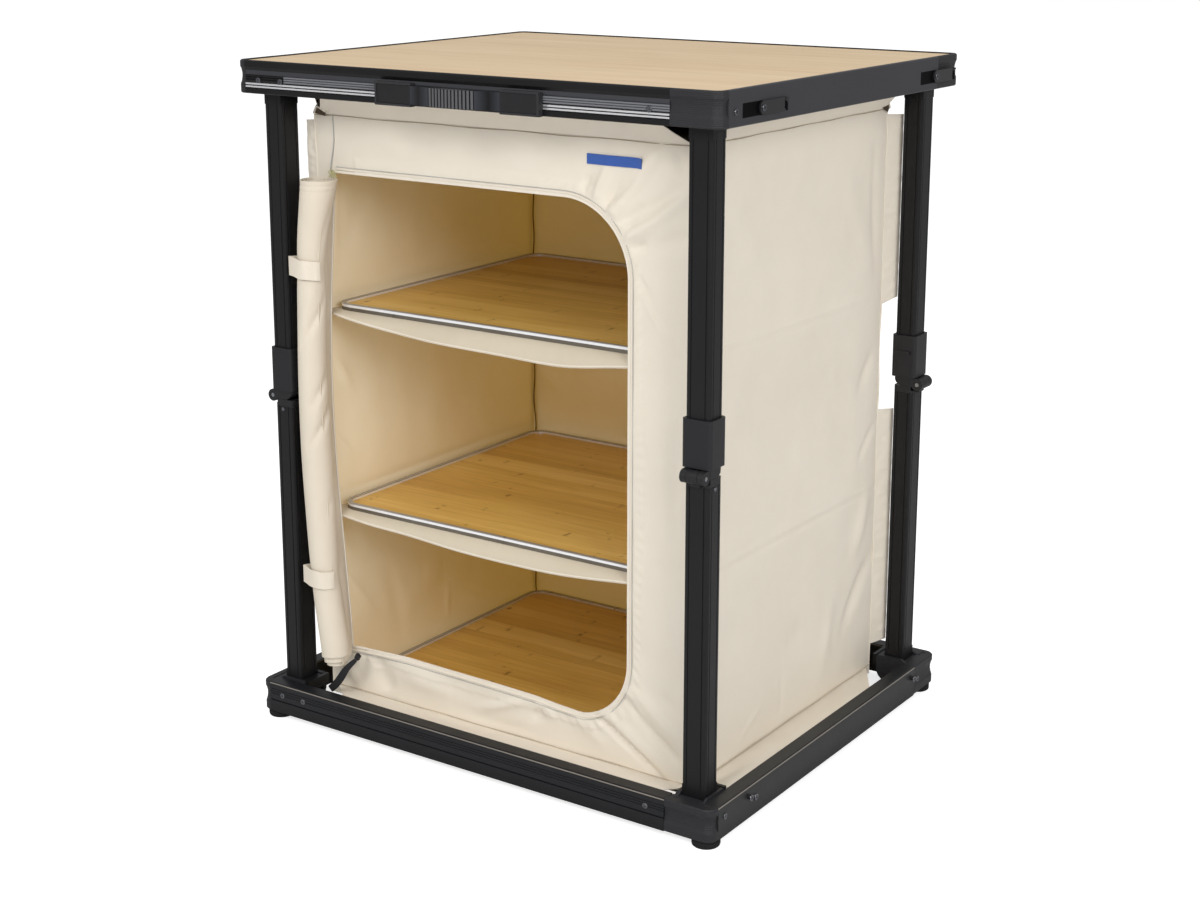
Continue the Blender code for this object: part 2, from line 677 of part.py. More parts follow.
def foot_mesh():
    """A round foot under a base corner."""
    radius, high, edge = FOOT_RADIUS, FOOT_HEIGHT - GAP, 0.0025
    profile = [(0, high), (radius - 0.002, high), (radius, high - 0.002)]
    profile += [(radius - edge + u, edge + v) for u, v in arc((0, 0), edge, 0, -90, 3)]
    profile += [(0, 0)]
    mesh = bpy.data.meshes.new("foot")
    mesh.from_pydata([(u, 0, v) for u, v in profile], [(i, i + 1) for i in range(len(profile) - 1)], [])
    piece = bpy.data.objects.new("foot", mesh)
    workshop.objects.link(piece)
    screw = piece.modifiers.new("turned", "SCREW")
    screw.steps = screw.render_steps = 24
    screw.use_merge_vertices = True
    screw.merge_threshold = 1e-5
    made = tidied(evaluated(piece))
    made.transform(Matrix.Translation((-FOOT_INSET, FOOT_INSET, 0)))
    return made


def build_corner(key, meshes):
    """Places one corner, its leg and the rail that runs along its long arm."""
    side_x, side_y, turn = CORNERS[key]
    corner = empty(f"corner_{key}", (side_x * HALF_W, side_y * HALF_D, 0), root, turn)
    at = {
        "base_pivot": (LEG_MID, PIVOT_Y, BASE_PIVOT),
        "knee": (LEG_MID, KNEE_Y, KNEE_Z),
        "top_pivot": (LEG_MID, PIVOT_Y, TOP_PIVOT),
    }
    hold = {name: empty(f"{name}_{key}", spot, corner) for name, spot in at.items()}
    length = WIDTH if key in ("fr", "rl") else DEPTH
    grooved = key in ("fr", "rl")
    base_rail = rail_mesh(length, BASE_LOW, base_face(grooved), False)
    top_rail = rail_mesh(length, TOP_LOW, top_face(grooved), True)
    if not grooved:
        base_rail, top_rail = with_studs(base_rail, top_rail)
    node(f"base_rail_{SIDES[key]}", base_rail, "black_aluminium", corner)
    node(f"top_rail_{SIDES[key]}", top_rail, "black_aluminium", corner)
    node(f"base_corner_{key}", meshes["base_corner"], "black_plastic", corner)
    node(f"top_corner_{key}", meshes["top_corner"], "black_plastic", corner)
    node(f"foot_{key}", meshes["foot"], "black_rubber", corner)
    node(f"lower_leg_{key}", meshes["lower_leg"], "black_aluminium", hold["base_pivot"], at["base_pivot"])
    node(f"knee_lower_{key}", meshes["knee_lower"], "black_plastic", hold["knee"], at["knee"])
    node(f"knee_pin_{key}", meshes["knee_pin"], "bright_steel", hold["knee"], at["knee"])
    node(f"knee_upper_{key}", meshes["knee_upper"], "black_plastic", hold["knee"], at["knee"])
    node(f"upper_leg_{key}", meshes["upper_leg"], "black_aluminium", hold["top_pivot"], at["top_pivot"])
    node(f"sleeve_{key}", meshes["sleeve"], "black_plastic", hold["knee"], at["knee"])
    return corner


def with_studs(base_rail, top_rail):
    """Side rails with the pins that their two catches turn on and, below, the studs that they hook on."""
    low = CATCH_Z - FOLD_DROP - CATCH_REACH
    root_depth = RAIL_FACE_WALL - 0.0005
    out = CATCH_THICK + 2 * GAP
    for spot in (CATCH_NEAR_END - DEPTH, -CATCH_FAR_END):
        base_rail = joined(base_rail, rod("Y", (spot, low), BASE_STUD_RADIUS, -out, root_depth, sides=14))
        top_rail = joined(top_rail, rod("Y", (spot, CATCH_Z), CATCH_STUD_RADIUS, -out, root_depth, sides=14))
    return base_rail, top_rail


def catch_mesh():
    """A catch lying along its rail, in a frame whose x runs along the rail and whose origin is its pin."""
    half = CATCH_WIDTH / 2
    notch = BASE_STUD_RADIUS + 0.0005
    end = CATCH_REACH + CATCH_TAIL
    outline = arc((0, 0), half, 90, 270, 8)
    outline += [(CATCH_REACH - notch, -half), (CATCH_REACH - notch, 0)]
    outline += arc((CATCH_REACH, 0), notch, 180, 0, 6)[1:-1]
    outline += [(CATCH_REACH + notch, 0), (CATCH_REACH + notch, -half)]
    outline += [(end, -half + 0.0015), (end, half - 0.003), (end - 0.003, half)]
    hole = arc((0, 0), CATCH_STUD_RADIUS + GAP, 0, 330, 11)
    return prism([outline, hole], "Y", -CATCH_THICK - GAP, -GAP)


def build_catches(mesh):
    for side, key, turn in (("right", "rr", 90), ("left", "fl", 270)):
        sign = 1 if side == "right" else -1
        for place, along in (("near", CATCH_NEAR_END - HALF_D), ("far", HALF_D - CATCH_FAR_END)):
            spot = (sign * HALF_W, sign * along, CATCH_Z)
            hold = empty(f"catch_pin_{side}_{place}", spot, root, turn)
            end = "rear" if sign * along > 0 else "front"
            node(f"catch_{end}_{side}", mesh, "black_plastic", hold)


def build_table_top():
    reach = LIP_THICK + GAP
    outline = round_rectangle((-HALF_W + reach, HALF_W - reach), (-HALF_D + reach, HALF_D - reach), PANEL_ROUND, 4)
    node("table_top", prism([outline], "Z", PANEL_LOW, PANEL_HIGH), "wood_panel", root)


def strap_shape(x):
    """How far the strap's back lies in front of its brackets' floor at x: flat ends and a bowed middle."""
    share = min(1.0, abs(x) / (HANDLE_LENGTH / 2 - BRACKET_LENGTH + STRAP_EASE))
    return (HANDLE_BOW - BRACKET_WALL - 2 * GAP) * (1 - share * share) ** 2


def build_handle():
    """The strap, with its ribbed grip, and the two brackets that hold its ends on the front rail."""
    floor = -HALF_D - GAP - BRACKET_WALL
    half = HANDLE_LENGTH / 2
    tip = half - BRACKET_WALL - GAP
    bowed = half - BRACKET_LENGTH + STRAP_EASE
    stations = [-tip] + [bowed * (2 * i / STRAP_STEPS - 1) for i in range(STRAP_STEPS + 1)] + [tip]
    back = [(x, floor - GAP - strap_shape(x)) for x in stations]
    front = [(x, y - STRAP_THICK) for x, y in reversed(back)]
    strap_z = grown((HANDLE_Z, HANDLE_Z), HANDLE_HEIGHT / 2 - BRACKET_WALL - RUN)
    strap = prism([back + front], "Z", *strap_z)
    for rib in range(GRIP_RIBS):
        x = GRIP_LENGTH * (rib / (GRIP_RIBS - 1) - 0.5)
        face = floor - GAP - strap_shape(x) - STRAP_THICK
        tool = box((x - 0.001, x + 0.001), (face - 0.004, face + 0.0008), grown(strap_z, 0.01))
        strap = cut(strap, tool)
    node("handle_strap", strap, "black_plastic", root)
    z = grown((HANDLE_Z, HANDLE_Z), HANDLE_HEIGHT / 2)
    for side, sign in (("left", -1), ("right", 1)):
        inner, outer = sign * (half - BRACKET_LENGTH), sign * half
        x = (min(inner, outer), max(inner, outer))
        block = box(x, (-HALF_D - GAP - BRACKET_PROUD, -HALF_D - GAP), z)
        room_x = (x[0] + (BRACKET_WALL if sign < 0 else -0.01), x[1] + (0.01 if sign < 0 else -BRACKET_WALL))
        room = box(room_x, (-HALF_D - 0.02, floor), grown(z, -BRACKET_WALL))
        node(f"handle_bracket_{side}", cut(block, room), "black_plastic", root)


def cabinet_walls():
    """The four walls, each drawn in a little between the shelf levels, which hold it out."""
    levels = [CABINET_BOTTOM, SHELVES["middle"], SHELVES["upper"], CABINET_TOP]
    shape = bmesh.new()
    rings = []
    for low, high in zip(levels, levels[1:]):
        for share in (0, 0.12, 0.5, 0.88):
            rings.append((low + (high - low) * share, math.sin(math.pi * share) ** 0.7))
    rings.append((CABINET_TOP, 0))
    stations = (-1, -0.93, -0.5, 0, 0.5, 0.93)
    before = None
    for height, draw in rings:
        points = []
        for turn in range(4):
            along, out = (CABINET_X, CABINET_Y) if turn % 2 == 0 else (CABINET_Y, CABINET_X)
            for share in stations:
                inward = PANEL_DRAW * draw * (1 - share ** 4) if turn != 0 else 0
                flat = Matrix.Rotation(turn * math.pi / 2, 2) @ Vector((share * along, -out + inward))
                points.append((flat.x, flat.y, height))
        ring = [shape.verts.new(point) for point in points]
        if before:
            for i, vert in enumerate(ring):
                j = (i + 1) % len(ring)
                shape.faces.new((before[i], before[j], ring[j], vert))
        before = ring
    mesh = bpy.data.meshes.new("walls")
    shape.to_mesh(mesh)
    shape.free()
    piece = bpy.data.objects.new("walls", mesh)
    workshop.objects.link(piece)
    skin = piece.modifiers.new("cloth", "SOLIDIFY")
    skin.thickness = CLOTH
    skin.offset = -1
    skin.use_even_offset = True
    return tidied(evaluated(piece))


def opening_cutter():
    """The D-shaped opening in the front: square at the hinge side, rounded at the right."""
    high, low = OPENING_ROUND_HIGH, OPENING_ROUND_LOW
    outline = [(OPENING_X[0], OPENING_Z[1]), (OPENING_X[0], OPENING_Z[0])]
    outline += arc((OPENING_X[1] - low, OPENING_Z[0] + low), low, -90, 0, 8)
    outline += arc((OPENING_X[1] - high, OPENING_Z[1] - high), high, 0, 90, 8)
    return prism([outline], "Y", -CABINET_Y - 0.02, -CABINET_Y + 0.02)


def flap(side, rise_from, rise_to, ends):
    """A strip of cloth from the cabinet's wall out to a rail, along one side of the cupboard.

    ends says how far in from the cabinet's corners the strip's left and right ends lie at the rail.
    """
    along, reach = (CABINET_X, HALF_D) if side in ("front", "rear") else (CABINET_Y, HALF_W)
    wall = -reach + CABINET_INSET + CLOTH * 0.8
    out = -reach + RAIL_THICK + FLAP_BACK
    lean = Vector((out - wall, rise_to - rise_from)).normalized()
    # The cloth is thick on its inner side, so its end only comes up to the rail
    across = Vector((lean.y, -lean.x)) * math.copysign(CLOTH, lean.y)
    strip = [(wall, rise_from), (out, rise_to), (out + across.x, rise_to + across.y)]
    strip += [(wall + across.x, rise_from + across.y)]
    mesh = prism([strip], "X", -along, along)
    for vertex in mesh.vertices:
        share = (vertex.co.y - wall) / (out - wall)
        end = ends[0] if vertex.co.x < 0 else ends[1]
        cut_back = FLAP_START + (end - FLAP_START) * max(0.0, share)
        vertex.co.x -= math.copysign(cut_back, vertex.co.x)
    mesh.transform(Matrix.Rotation(math.radians(TURNS[side]), 4, "Z"))
    return mesh


def shelf_cloth(level):
    """The cloth that a shelf lies on, with the hem that sags under its front edge."""
    half_x, half_y = CABINET_X - CLOTH / 2, CABINET_Y - CLOTH / 2
    top = level - BOARD_THICK - GAP
    front = -half_y + 0.009
    sheet = box((-half_x, half_x), (front, half_y), (top - CLOTH, top))
    if level == SHELVES["lower"]:
        return sheet
    steps = 12
    hem = [(half_x - 0.0003, top - 0.0005), (-half_x + 0.0003, top - 0.0005)]
    for i in range(steps + 1):
        share = i / steps
        hem.append(((2 * share - 1) * (half_x - 0.0003), top - LIP_DROP - LIP_SAG * math.sin(math.pi * share) ** 0.8))
    return joined(sheet, prism([hem], "Y", front + 0.0002, front + CLOTH + 0.0002))


def leg_flaps():
    """Strips that run on from the front wall to the left, and from the rear wall to the right."""
    strips = []
    for sign in (-1, 1):
        for low, high in ((CABINET_BOTTOM + 0.04, KNEE_Z - 0.035), (KNEE_Z + 0.0985, CABINET_TOP - 0.010)):
            x = sorted((sign * (CABINET_X - CLOTH / 2), sign * (CABINET_X + LEG_FLAP)))
            y = sorted((sign * (CABINET_Y - SEAM), sign * (CABINET_Y - SEAM - CLOTH)))
            strips.append(box(x, y, (low, high)))
    return strips


def build_cabinet():
    """All the cloth that is sewn together. Its thin faces nearly touch, which only MANIFOLD joins cleanly."""
    sewn = [shelf_cloth(level) for level in SHELVES.values()] + leg_flaps()
    for side in TURNS:
        above, below = LONG_FLAP_ENDS if side in ("front", "rear") else SHORT_FLAP_ENDS
        sewn.append(flap(side, CABINET_TOP - CLOTH, CABINET_TOP + TOP_FLAP_RISE, above))
        sewn.append(flap(side, CABINET_BOTTOM + CLOTH, BASE_HIGH - CLOTH, below))
    cabinet = cut(cabinet_walls(), opening_cutter(), solver="MANIFOLD")
    node("fabric_cabinet", joined(cabinet, *sewn, solver="MANIFOLD"), "cream_cloth", root)


def build_shelves():
    """Each shelf's board, and the tube rim that holds its edge."""
    half_x = CABINET_X - CLOTH - PANEL_DRAW - SHELF_CLEAR
    low_y = -CABINET_Y + SHELF_FRONT
    high_y = CABINET_Y - CLOTH - PANEL_DRAW - SHELF_CLEAR
    x, y = (-half_x, half_x), (low_y, high_y)
    inner_x, inner_y = grown(x, -RIM_WIDE), grown(y, -RIM_WIDE)
    for name, level in SHELVES.items():
        board = prism(
            [round_rectangle(grown(inner_x, -GAP), grown(inner_y, -GAP), SHELF_ROUND - RIM_WIDE, 5)],
            "Z", level - BOARD_THICK, level,
        )
        low = level - BOARD_THICK
        rim = prism(
            [round_rectangle(x, y, SHELF_ROUND, 5), round_rectangle(inner_x, inner_y, SHELF_ROUND - RIM_WIDE, 5)],
            "Z", low, low + RIM_HIGH,
        )
        hold = empty(f"shelf_{name}", (0, 0, level), root)
        node(f"shelf_board_{name}", board, "bamboo", hold, (0, 0, level))
        node(f"shelf_frame_{name}", rim, "silver_tube", hold, (0, 0, level))


def roll_centre(share):
    """Where the rolled door's middle lies, a share of the way up it."""
    stops = ((0.0, ROLL_FOOT), (0.25, ROLL_HEAD), (0.55, ROLL_BOW), (1.0, ROLL_HEAD))
    for (low, left), (high, right) in zip(stops, stops[1:]):
        if share <= high:
            part = (share - low) / (high - low)
            part = part * part * (3 - 2 * part)
            return -CABINET_X + left + (right - left) * part
    return -CABINET_X + ROLL_HEAD


def build_door_roll():
    """The rolled door: a thick roll that its two straps draw in."""
    curve = bpy.data.curves.new("door_roll", "CURVE")
    curve.dimensions = "3D"
    curve.bevel_depth = ROLL_RADIUS
    curve.bevel_resolution = 4
    curve.use_fill_caps = True
    steps = 18
    spline = curve.splines.new("POLY")
    spline.points.add(steps)
    y = -CABINET_Y - ROLL_RADIUS - GAP
    low, high = OPENING_Z[0] - ROLL_HANG, OPENING_Z[1] - ROLL_NECK
    for i, point in enumerate(spline.points):
        share = i / steps
        point.co = (roll_centre(share), y, low + (high - low) * share, 1)
        near = min(abs(share - strap) for strap in ROLL_STRAPS)
        point.radius = 1 - (1 - ROLL_PINCH) * max(0.0, 1 - near / 0.05)
    guide = bpy.data.objects.new("door_roll", curve)
    workshop.objects.link(guide)
    node("door_roll", tidied(evaluated(guide)), "cream_cloth", root)


clear_scene()
cupboard = new_collection("camping_cupboard")
workshop = new_collection("cutters")
materials = {name: new_material(name) for name in COLOURS}

# The handle stands proud at the front only, so the frames lie half of that behind the middle of the box
root = empty("camping_cupboard", (0, FRONT_REACH / 2, 0))

shared = {
    "base_corner": base_corner_mesh(),
    "top_corner": top_corner_mesh(),
    "foot": foot_mesh(),
    "lower_leg": lower_leg_mesh(),
    "upper_leg": upper_leg_mesh(),
    "knee_lower": knee_lower_mesh(),
    "knee_upper": knee_upper_mesh(),
    "knee_pin": rod("X", (KNEE_Y, KNEE_Z), KNEE_PIN_RADIUS, *grown(LEG_X, -0.0005), sides=14),
    "sleeve": sleeve_mesh(),
}
for corner_key in CORNERS:
    build_corner(corner_key, shared)
build_catches(catch_mesh())
build_table_top()
build_handle()
build_cabinet()
build_shelves()
build_door_roll()

bpy.context.view_layer.update()
workshop.hide_render = True
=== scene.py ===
# %% [markdown]
# # A folding camping cupboard
# The frame, legs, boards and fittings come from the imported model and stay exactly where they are. This script
# gives them their finishes, sews the cloth cabinet that hangs between the two frames, and adds the small
# things: screws, seams, the zip, the rolled-up door, its straps and pull.

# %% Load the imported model
import math

import bmesh
import bpy
import numpy as np
from mathutils import Matrix, Vector, noise


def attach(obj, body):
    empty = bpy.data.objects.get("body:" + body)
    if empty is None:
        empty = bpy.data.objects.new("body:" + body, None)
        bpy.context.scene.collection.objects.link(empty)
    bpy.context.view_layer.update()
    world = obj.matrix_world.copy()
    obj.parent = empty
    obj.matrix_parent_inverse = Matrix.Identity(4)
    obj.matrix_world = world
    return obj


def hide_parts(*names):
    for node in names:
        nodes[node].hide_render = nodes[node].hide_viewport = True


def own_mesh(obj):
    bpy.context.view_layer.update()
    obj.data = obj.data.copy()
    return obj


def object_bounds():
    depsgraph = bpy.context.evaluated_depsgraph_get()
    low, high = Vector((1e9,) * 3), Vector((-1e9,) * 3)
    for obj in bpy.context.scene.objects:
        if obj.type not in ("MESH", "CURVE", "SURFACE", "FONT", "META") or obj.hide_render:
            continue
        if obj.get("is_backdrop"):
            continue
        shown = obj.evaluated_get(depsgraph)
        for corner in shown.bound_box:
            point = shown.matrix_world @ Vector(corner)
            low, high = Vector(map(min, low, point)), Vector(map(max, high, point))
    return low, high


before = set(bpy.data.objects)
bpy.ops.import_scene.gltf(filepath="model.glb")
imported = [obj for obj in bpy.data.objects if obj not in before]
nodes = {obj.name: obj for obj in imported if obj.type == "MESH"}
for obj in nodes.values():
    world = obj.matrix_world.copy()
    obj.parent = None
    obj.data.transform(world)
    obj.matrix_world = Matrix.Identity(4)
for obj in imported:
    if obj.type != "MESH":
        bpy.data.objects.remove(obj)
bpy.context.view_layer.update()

print("loaded", len(nodes), "pieces of the frame")

# %% [markdown]
# ## The camera
# A product picture keeps upright lines nearly upright, which a view camera does by shifting its lens. A small
# shift gives the same framing and still leaves the other views usable.

# %% Camera
PHOTO_WIDE, SENSOR_WIDE = 1200, 36
LENS_IN_PIXELS, SHIFT_IN_PIXELS = 1991.4, (0.25, -90)
turn, tip = math.radians(34.355), math.radians(13.42)
lens = bpy.data.cameras.new("camera")
lens.sensor_width = SENSOR_WIDE
lens.lens = LENS_IN_PIXELS / PHOTO_WIDE * SENSOR_WIDE
lens.shift_x, lens.shift_y = (shift / PHOTO_WIDE for shift in SHIFT_IN_PIXELS)
lens.clip_start = 0.05
camera = bpy.data.objects.new("camera", lens)
look = Vector((-math.sin(turn) * math.cos(tip), math.cos(turn) * math.cos(tip), -math.sin(tip)))
camera.location = (1.3408, -1.96355, 1.0177)
camera.rotation_euler = look.to_track_quat("-Z", "Y").to_euler()
bpy.context.scene.collection.objects.link(camera)
bpy.context.scene.camera = camera
bpy.context.scene.view_settings.view_transform = "Standard"
print("camera at", tuple(round(v, 3) for v in camera.location))


# %% [markdown]
# ## Writing finishes as sums
# A finish is a small sum over the surface: a colour, a grain, a little unevenness. Wires drawn between boxes
# are hard to read, so a wire here can be added, multiplied and compared like a number, and each sign adds its
# own maths box. Every other kind of box comes from one method.

# %% The wire
class Wire:
    """One output of a shader box, which Python's signs work on."""

    def __init__(self, paint, box, output=0):
        self.paint, self.socket = paint, box.outputs[output]

    def maths(self, operation, *values):
        return self.paint.box("ShaderNodeMath", {"operation": operation}, dict(enumerate((self, *values))))

    def __add__(self, value):
        return self.maths("ADD", value)

    def __sub__(self, value):
        return self.maths("SUBTRACT", value)

    def __rsub__(self, value):
        return self.paint.box("ShaderNodeMath", {"operation": "SUBTRACT"}, {0: value, 1: self})

    def __mul__(self, value):
        return self.maths("MULTIPLY", value)

    def __gt__(self, value):
        return self.maths("GREATER_THAN", value)

    def __lt__(self, value):
        return self.maths("LESS_THAN", value)

    __radd__, __rmul__ = __add__, __mul__


# %% The paint
def linear(colour):
    """A colour as it is seen on a screen, from 0 to 255, as the light it gives off."""
    parts = [v / 255 for v in colour]
    return tuple(v / 12.92 if v <= 0.04045 else ((v + 0.055) / 1.055) ** 2.4 for v in parts) + (1.0,)


def shade(colour, share):
    """A colour's light made weaker, or stronger up to white."""
    return tuple(min(1.0, v * share) for v in colour[:3]) + (1.0,)


class Paint:
    """A material that is put together in a few lines."""

    def __init__(self, name, colour, roughness, metallic=0.0, **fixed):
        self.material = bpy.data.materials.new(name)
        self.material.use_nodes = True
        self.tree = self.material.node_tree
        self.shader = self.tree.nodes["Principled BSDF"]
        self.colour = self.material.diffuse_color = linear(colour)
        fixed.update({"Base Color": self.colour, "Roughness": roughness, "Metallic": metallic})
        for key, value in fixed.items():
            self.give(key.replace("_", " "), value)

    def join(self, value, socket):
        if isinstance(value, Wire):
            self.tree.links.new(value.socket, socket)
        else:
            socket.default_value = value

    def box(self, kind, settings=None, inputs=None, output=0):
        made = self.tree.nodes.new(kind)
        for key, value in (settings or {}).items():
            if key == "stops":
                made.color_ramp.elements.new(0.5)
                for stop, (place, colour) in zip(made.color_ramp.elements, value):
                    stop.position, stop.color = place, linear(colour)
            else:
                setattr(made, key, value)
        for key, value in (inputs or {}).items():
            self.join(value, made.inputs[key])
        return Wire(self, made, output)

    def give(self, socket, value):
        self.join(value, self.shader.inputs[socket])

    def cloud(self, size, scale=(1, 1, 1), detail=2.0, rough=0.5):
        """Soft unevenness from 0 to 1. size is how many lumps lie in a metre, and scale stretches them."""
        spot = self.box("ShaderNodeTexCoord", output="Object")
        spot = self.box("ShaderNodeMapping", {"vector_type": "POINT"}, {"Vector": spot, "Scale": scale})
        inputs = {"Vector": spot, "Scale": size, "Detail": detail, "Roughness": rough}
        return self.box("ShaderNodeTexNoise", None, inputs)

    def axis(self, name):
        """The x, y or z of the surface, in metres."""
        spot = self.box("ShaderNodeTexCoord", output="Object")
        return self.box("ShaderNodeSeparateXYZ", None, {0: spot}, output=name)

    def mix(self, share, first, second):
        """One colour or the other, by a share from 0 to 1. Three numbers are a colour from 0 to 255."""
        first, second = (linear(c) if isinstance(c, tuple) and len(c) == 3 else c for c in (first, second))
        inputs = {"Factor": share, 6: first, 7: second}
        return self.box("ShaderNodeMix", {"data_type": "RGBA"}, inputs, output=2)

    def coat(self, colour, roughness, *relief):
        """Gives the surface its look. A layer of relief is a height from 0 to 1, and its metres."""
        self.give("Base Color", colour)
        self.give("Roughness", roughness)
        below = {}
        for height, depth in relief:
            inputs = {"Height": height, "Distance": depth, "Strength": 1.0, **below}
            below = {"Normal": self.box("ShaderNodeBump", None, inputs)}
            self.give("Normal", below["Normal"])


def wear(piece, material):
    """Gives a piece one finish all over."""
    piece.data.materials.clear()
    piece.data.materials.append(material)


def finish_nodes(material, *names):
    """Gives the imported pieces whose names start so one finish."""
    found = [name for name in nodes if name.startswith(names)]
    for name in found:
        wear(nodes[name], material)
    print(material.name, "on", len(found), "pieces")


# %% [markdown]
# ## Black metal
# The rails and legs are drawn aluminium with a satin black coat. Drawing leaves faint lines along the length,
# which spread a highlight across them. A cloud that is stretched fiftyfold gives these lines, and slow clouds
# give the coat's slightly uneven shine. The stretch follows each piece's own length. The lengthways rails get
# lighter copies of the same black, the top ones most, as painted sheen. A base rail also has a painted shade
# that darkens its foot, and a painted highlight, a bright line along its upper edge.

# %% Black aluminium
BASE_FOOT, BASE_LIP = 0.0095, (0.0459, 0.0471)


def black_metal(name, along, colour, painted_shade_and_highlight=False):
    paint = Paint(name, colour, 0.42, Specular_IOR_Level=0.26)
    lines = paint.cloud(900.0, tuple(0.02 if axis == along else 1.0 for axis in "XYZ"), rough=0.6)
    haze, dust = paint.cloud(14.0, detail=3.0), paint.cloud(160.0, detail=4.0, rough=0.7)
    tone = paint.mix(haze * 0.7 + lines * 0.3, shade(paint.colour, 0.72), shade(paint.colour, 1.3))
    # Painted shade darkens the foot, and a painted highlight is a bright line along the lip.
    if painted_shade_and_highlight:
        z = paint.axis("Z")
        foot = 1.0 - ((z - BASE_FOOT) * 55.0).maths("MINIMUM", 1.0)
        lip = (z > BASE_LIP[0]) * (z < BASE_LIP[1])
        tone = paint.mix(foot * 0.75, tone, (9, 9, 10))
        tone = paint.mix(lip * (lines * 0.5 + 0.45), tone, (150, 142, 132))
    paint.coat(tone, haze * 0.14 + dust * 0.08 + 0.31, (lines, 0.00002), (dust, 0.000012))
    return paint.material


# The lengthways rails, most of all the top ones, are lighter copies of one black: painted sheen.
for name, along, colour, painted_shade_and_highlight, *starts in (
        ("black_metal_upright", "Z", (19, 19, 21), False, "lower_leg", "upper_leg"),
        ("black_metal_sideways", "X", (25, 26, 29), True, "base_rail_front", "base_rail_rear"),
        ("black_metal_lengthways", "Y", (34, 35, 36), True, "base_rail_left", "base_rail_right"),
        ("painted_sheen_metal_lengthways", "Y", (50, 50, 54), False, "top_rail_left", "top_rail_right")):
    finish_nodes(black_metal(name, along, colour, painted_shade_and_highlight), *starts)

# %% [markdown]
# The front and rear top rails have two bright lines, where the coat is machined away from two ridges of the
# profile, and a band of fine ribs above them, which get a grey painted sheen, with a painted soft highlight
# on the band above the ribs. The ridges are in the metal already. The colour only has to know their heights
# and how far out the face lies, so that the rail's inside stays black.

# %% Top rails with bright lines
RAIL_FOOT, MIDDLE_Y = 0.7815, 0.00825
LOWER_RIDGE, UPPER_RIDGE = (0.00726, 0.00946), (0.01056, 0.01276)
RIB_BAND, SHEEN_BAND = (0.0144, 0.0216), (0.0218, 0.0272)
RIDGES_OUT, RIBS_OUT, RIBS_FROM = 0.2786, 0.2788, -0.2560


def lined_metal():
    paint = Paint("black_metal_with_lines", (26, 26, 29), 0.4, Specular_IOR_Level=0.28)
    z, out = paint.axis("Z"), (paint.axis("Y") - MIDDLE_Y).maths("ABSOLUTE")
    lines, haze = paint.cloud(900.0, (0.02, 1, 1), rough=0.6), paint.cloud(14.0, detail=3.0)

    def band(low, high):
        return (z > RAIL_FOOT + low) * (z < RAIL_FOOT + high)

    ridge = (band(*LOWER_RIDGE) + band(*UPPER_RIDGE)) * (out > RIDGES_OUT)
    ribs = band(*RIB_BAND) * (out > RIBS_OUT) * (paint.axis("X") > RIBS_FROM)
    black = paint.mix(haze, (8, 8, 10), (17, 17, 19))
    # Painted light: a soft painted highlight on the band above the ribs, and grey painted sheen on the ribs.
    black = paint.mix(band(*SHEEN_BAND) * 0.45, black, (74, 75, 80))
    black = paint.mix(ribs * 0.75, black, (122, 123, 128))
    silver = paint.mix(haze, (225, 226, 229), (250, 250, 252))
    paint.give("Metallic", ridge * 0.75)
    paint.coat(paint.mix(ridge, black, silver), 0.42 - ridge * 0.18 + haze * 0.05, (lines, 0.00002))
    return paint.material


finish_nodes(lined_metal(), "top_rail_front", "top_rail_rear")

# %% [markdown]
# ## Black moulded parts
# The corners, knees, sleeves and handle are moulded in filled nylon: a fine even texture with a low shine.
# The corner pieces also have fine ribs running round them. They are so shallow that relief in the finish is
# enough, and it is kept level by only reading the height.

# %% Black plastic
RIB_APART, RIB_TALL = 0.0019, 0.00022


def black_plastic(name, colour=(27, 27, 29), roughness=0.5, rib=0.0, texture=0.00003, shine=0.32):
    paint = Paint(name, colour, roughness, Specular_IOR_Level=shine)
    grain, haze = paint.cloud(1500.0, detail=3.0, rough=0.6), paint.cloud(22.0, detail=3.0)
    tone = paint.mix(haze * 0.7 + grain * 0.3, shade(paint.colour, 0.75), shade(paint.colour, 1.25))
    relief = [(grain, texture)]
    if rib:
        relief.append(((paint.axis("Z") * (2 * math.pi / rib)).maths("SINE") * 0.5 + 0.5, RIB_TALL))
    paint.coat(tone, haze * 0.12 + grain * 0.08 + (roughness - 0.1), *relief)
    return paint.material


moulded = black_plastic("moulded_black")
ribbed = black_plastic("ribbed_corner_black", (34, 34, 37), 0.52, rib=RIB_APART)
finish_nodes(ribbed, "base_corner", "top_corner")
finish_nodes(moulded, "knee_upper", "knee_lower")
finish_nodes(black_plastic("sleeve_black", (27, 27, 30), 0.44, texture=0.00002), "sleeve_")
finish_nodes(black_plastic("catch_black", (26, 26, 29), 0.24, texture=0.00006, shine=0.4), "catch_")
finish_nodes(black_plastic("bracket_black", (40, 40, 42), 0.55), "handle_bracket")


# %% Handle, feet and knee pins
GRIP_HALF, DIP_END, DIP_MIDDLE = 0.0305, 0.0612, 0.0480


def handle_rubber():
    """Ribbed and matt at the grip, polished in the two dips beside it; painted highlight on rib tops, painted
    reflection in dips.
    """
    paint = Paint("handle_black", (24, 24, 27), 0.4, Specular_IOR_Level=0.4)
    across, haze = paint.axis("X").maths("ABSOLUTE"), paint.cloud(30.0, detail=3.0)
    # The rib tops get a painted highlight, and the dips a painted reflection, pale at their edges and black in
    # the middle.
    tops = (across < GRIP_HALF) * (paint.axis("Y") * -1.0 + across * across * 3.25 > 0.28785)
    dip = (across > GRIP_HALF) * (across < DIP_END)
    middle = 1.0 - ((across - DIP_MIDDLE).maths("ABSOLUTE") * 62.0).maths("MINIMUM", 1.0)
    sheen = paint.mix(middle, (50, 52, 58), (5, 5, 7))
    tone = paint.mix(dip, paint.mix(haze, (14, 14, 16), (24, 24, 27)), sheen)
    paint.coat(paint.mix(tops * 0.9, tone, (88, 88, 90)), haze * 0.1 + 0.36 - dip * 0.20)
    return paint.material


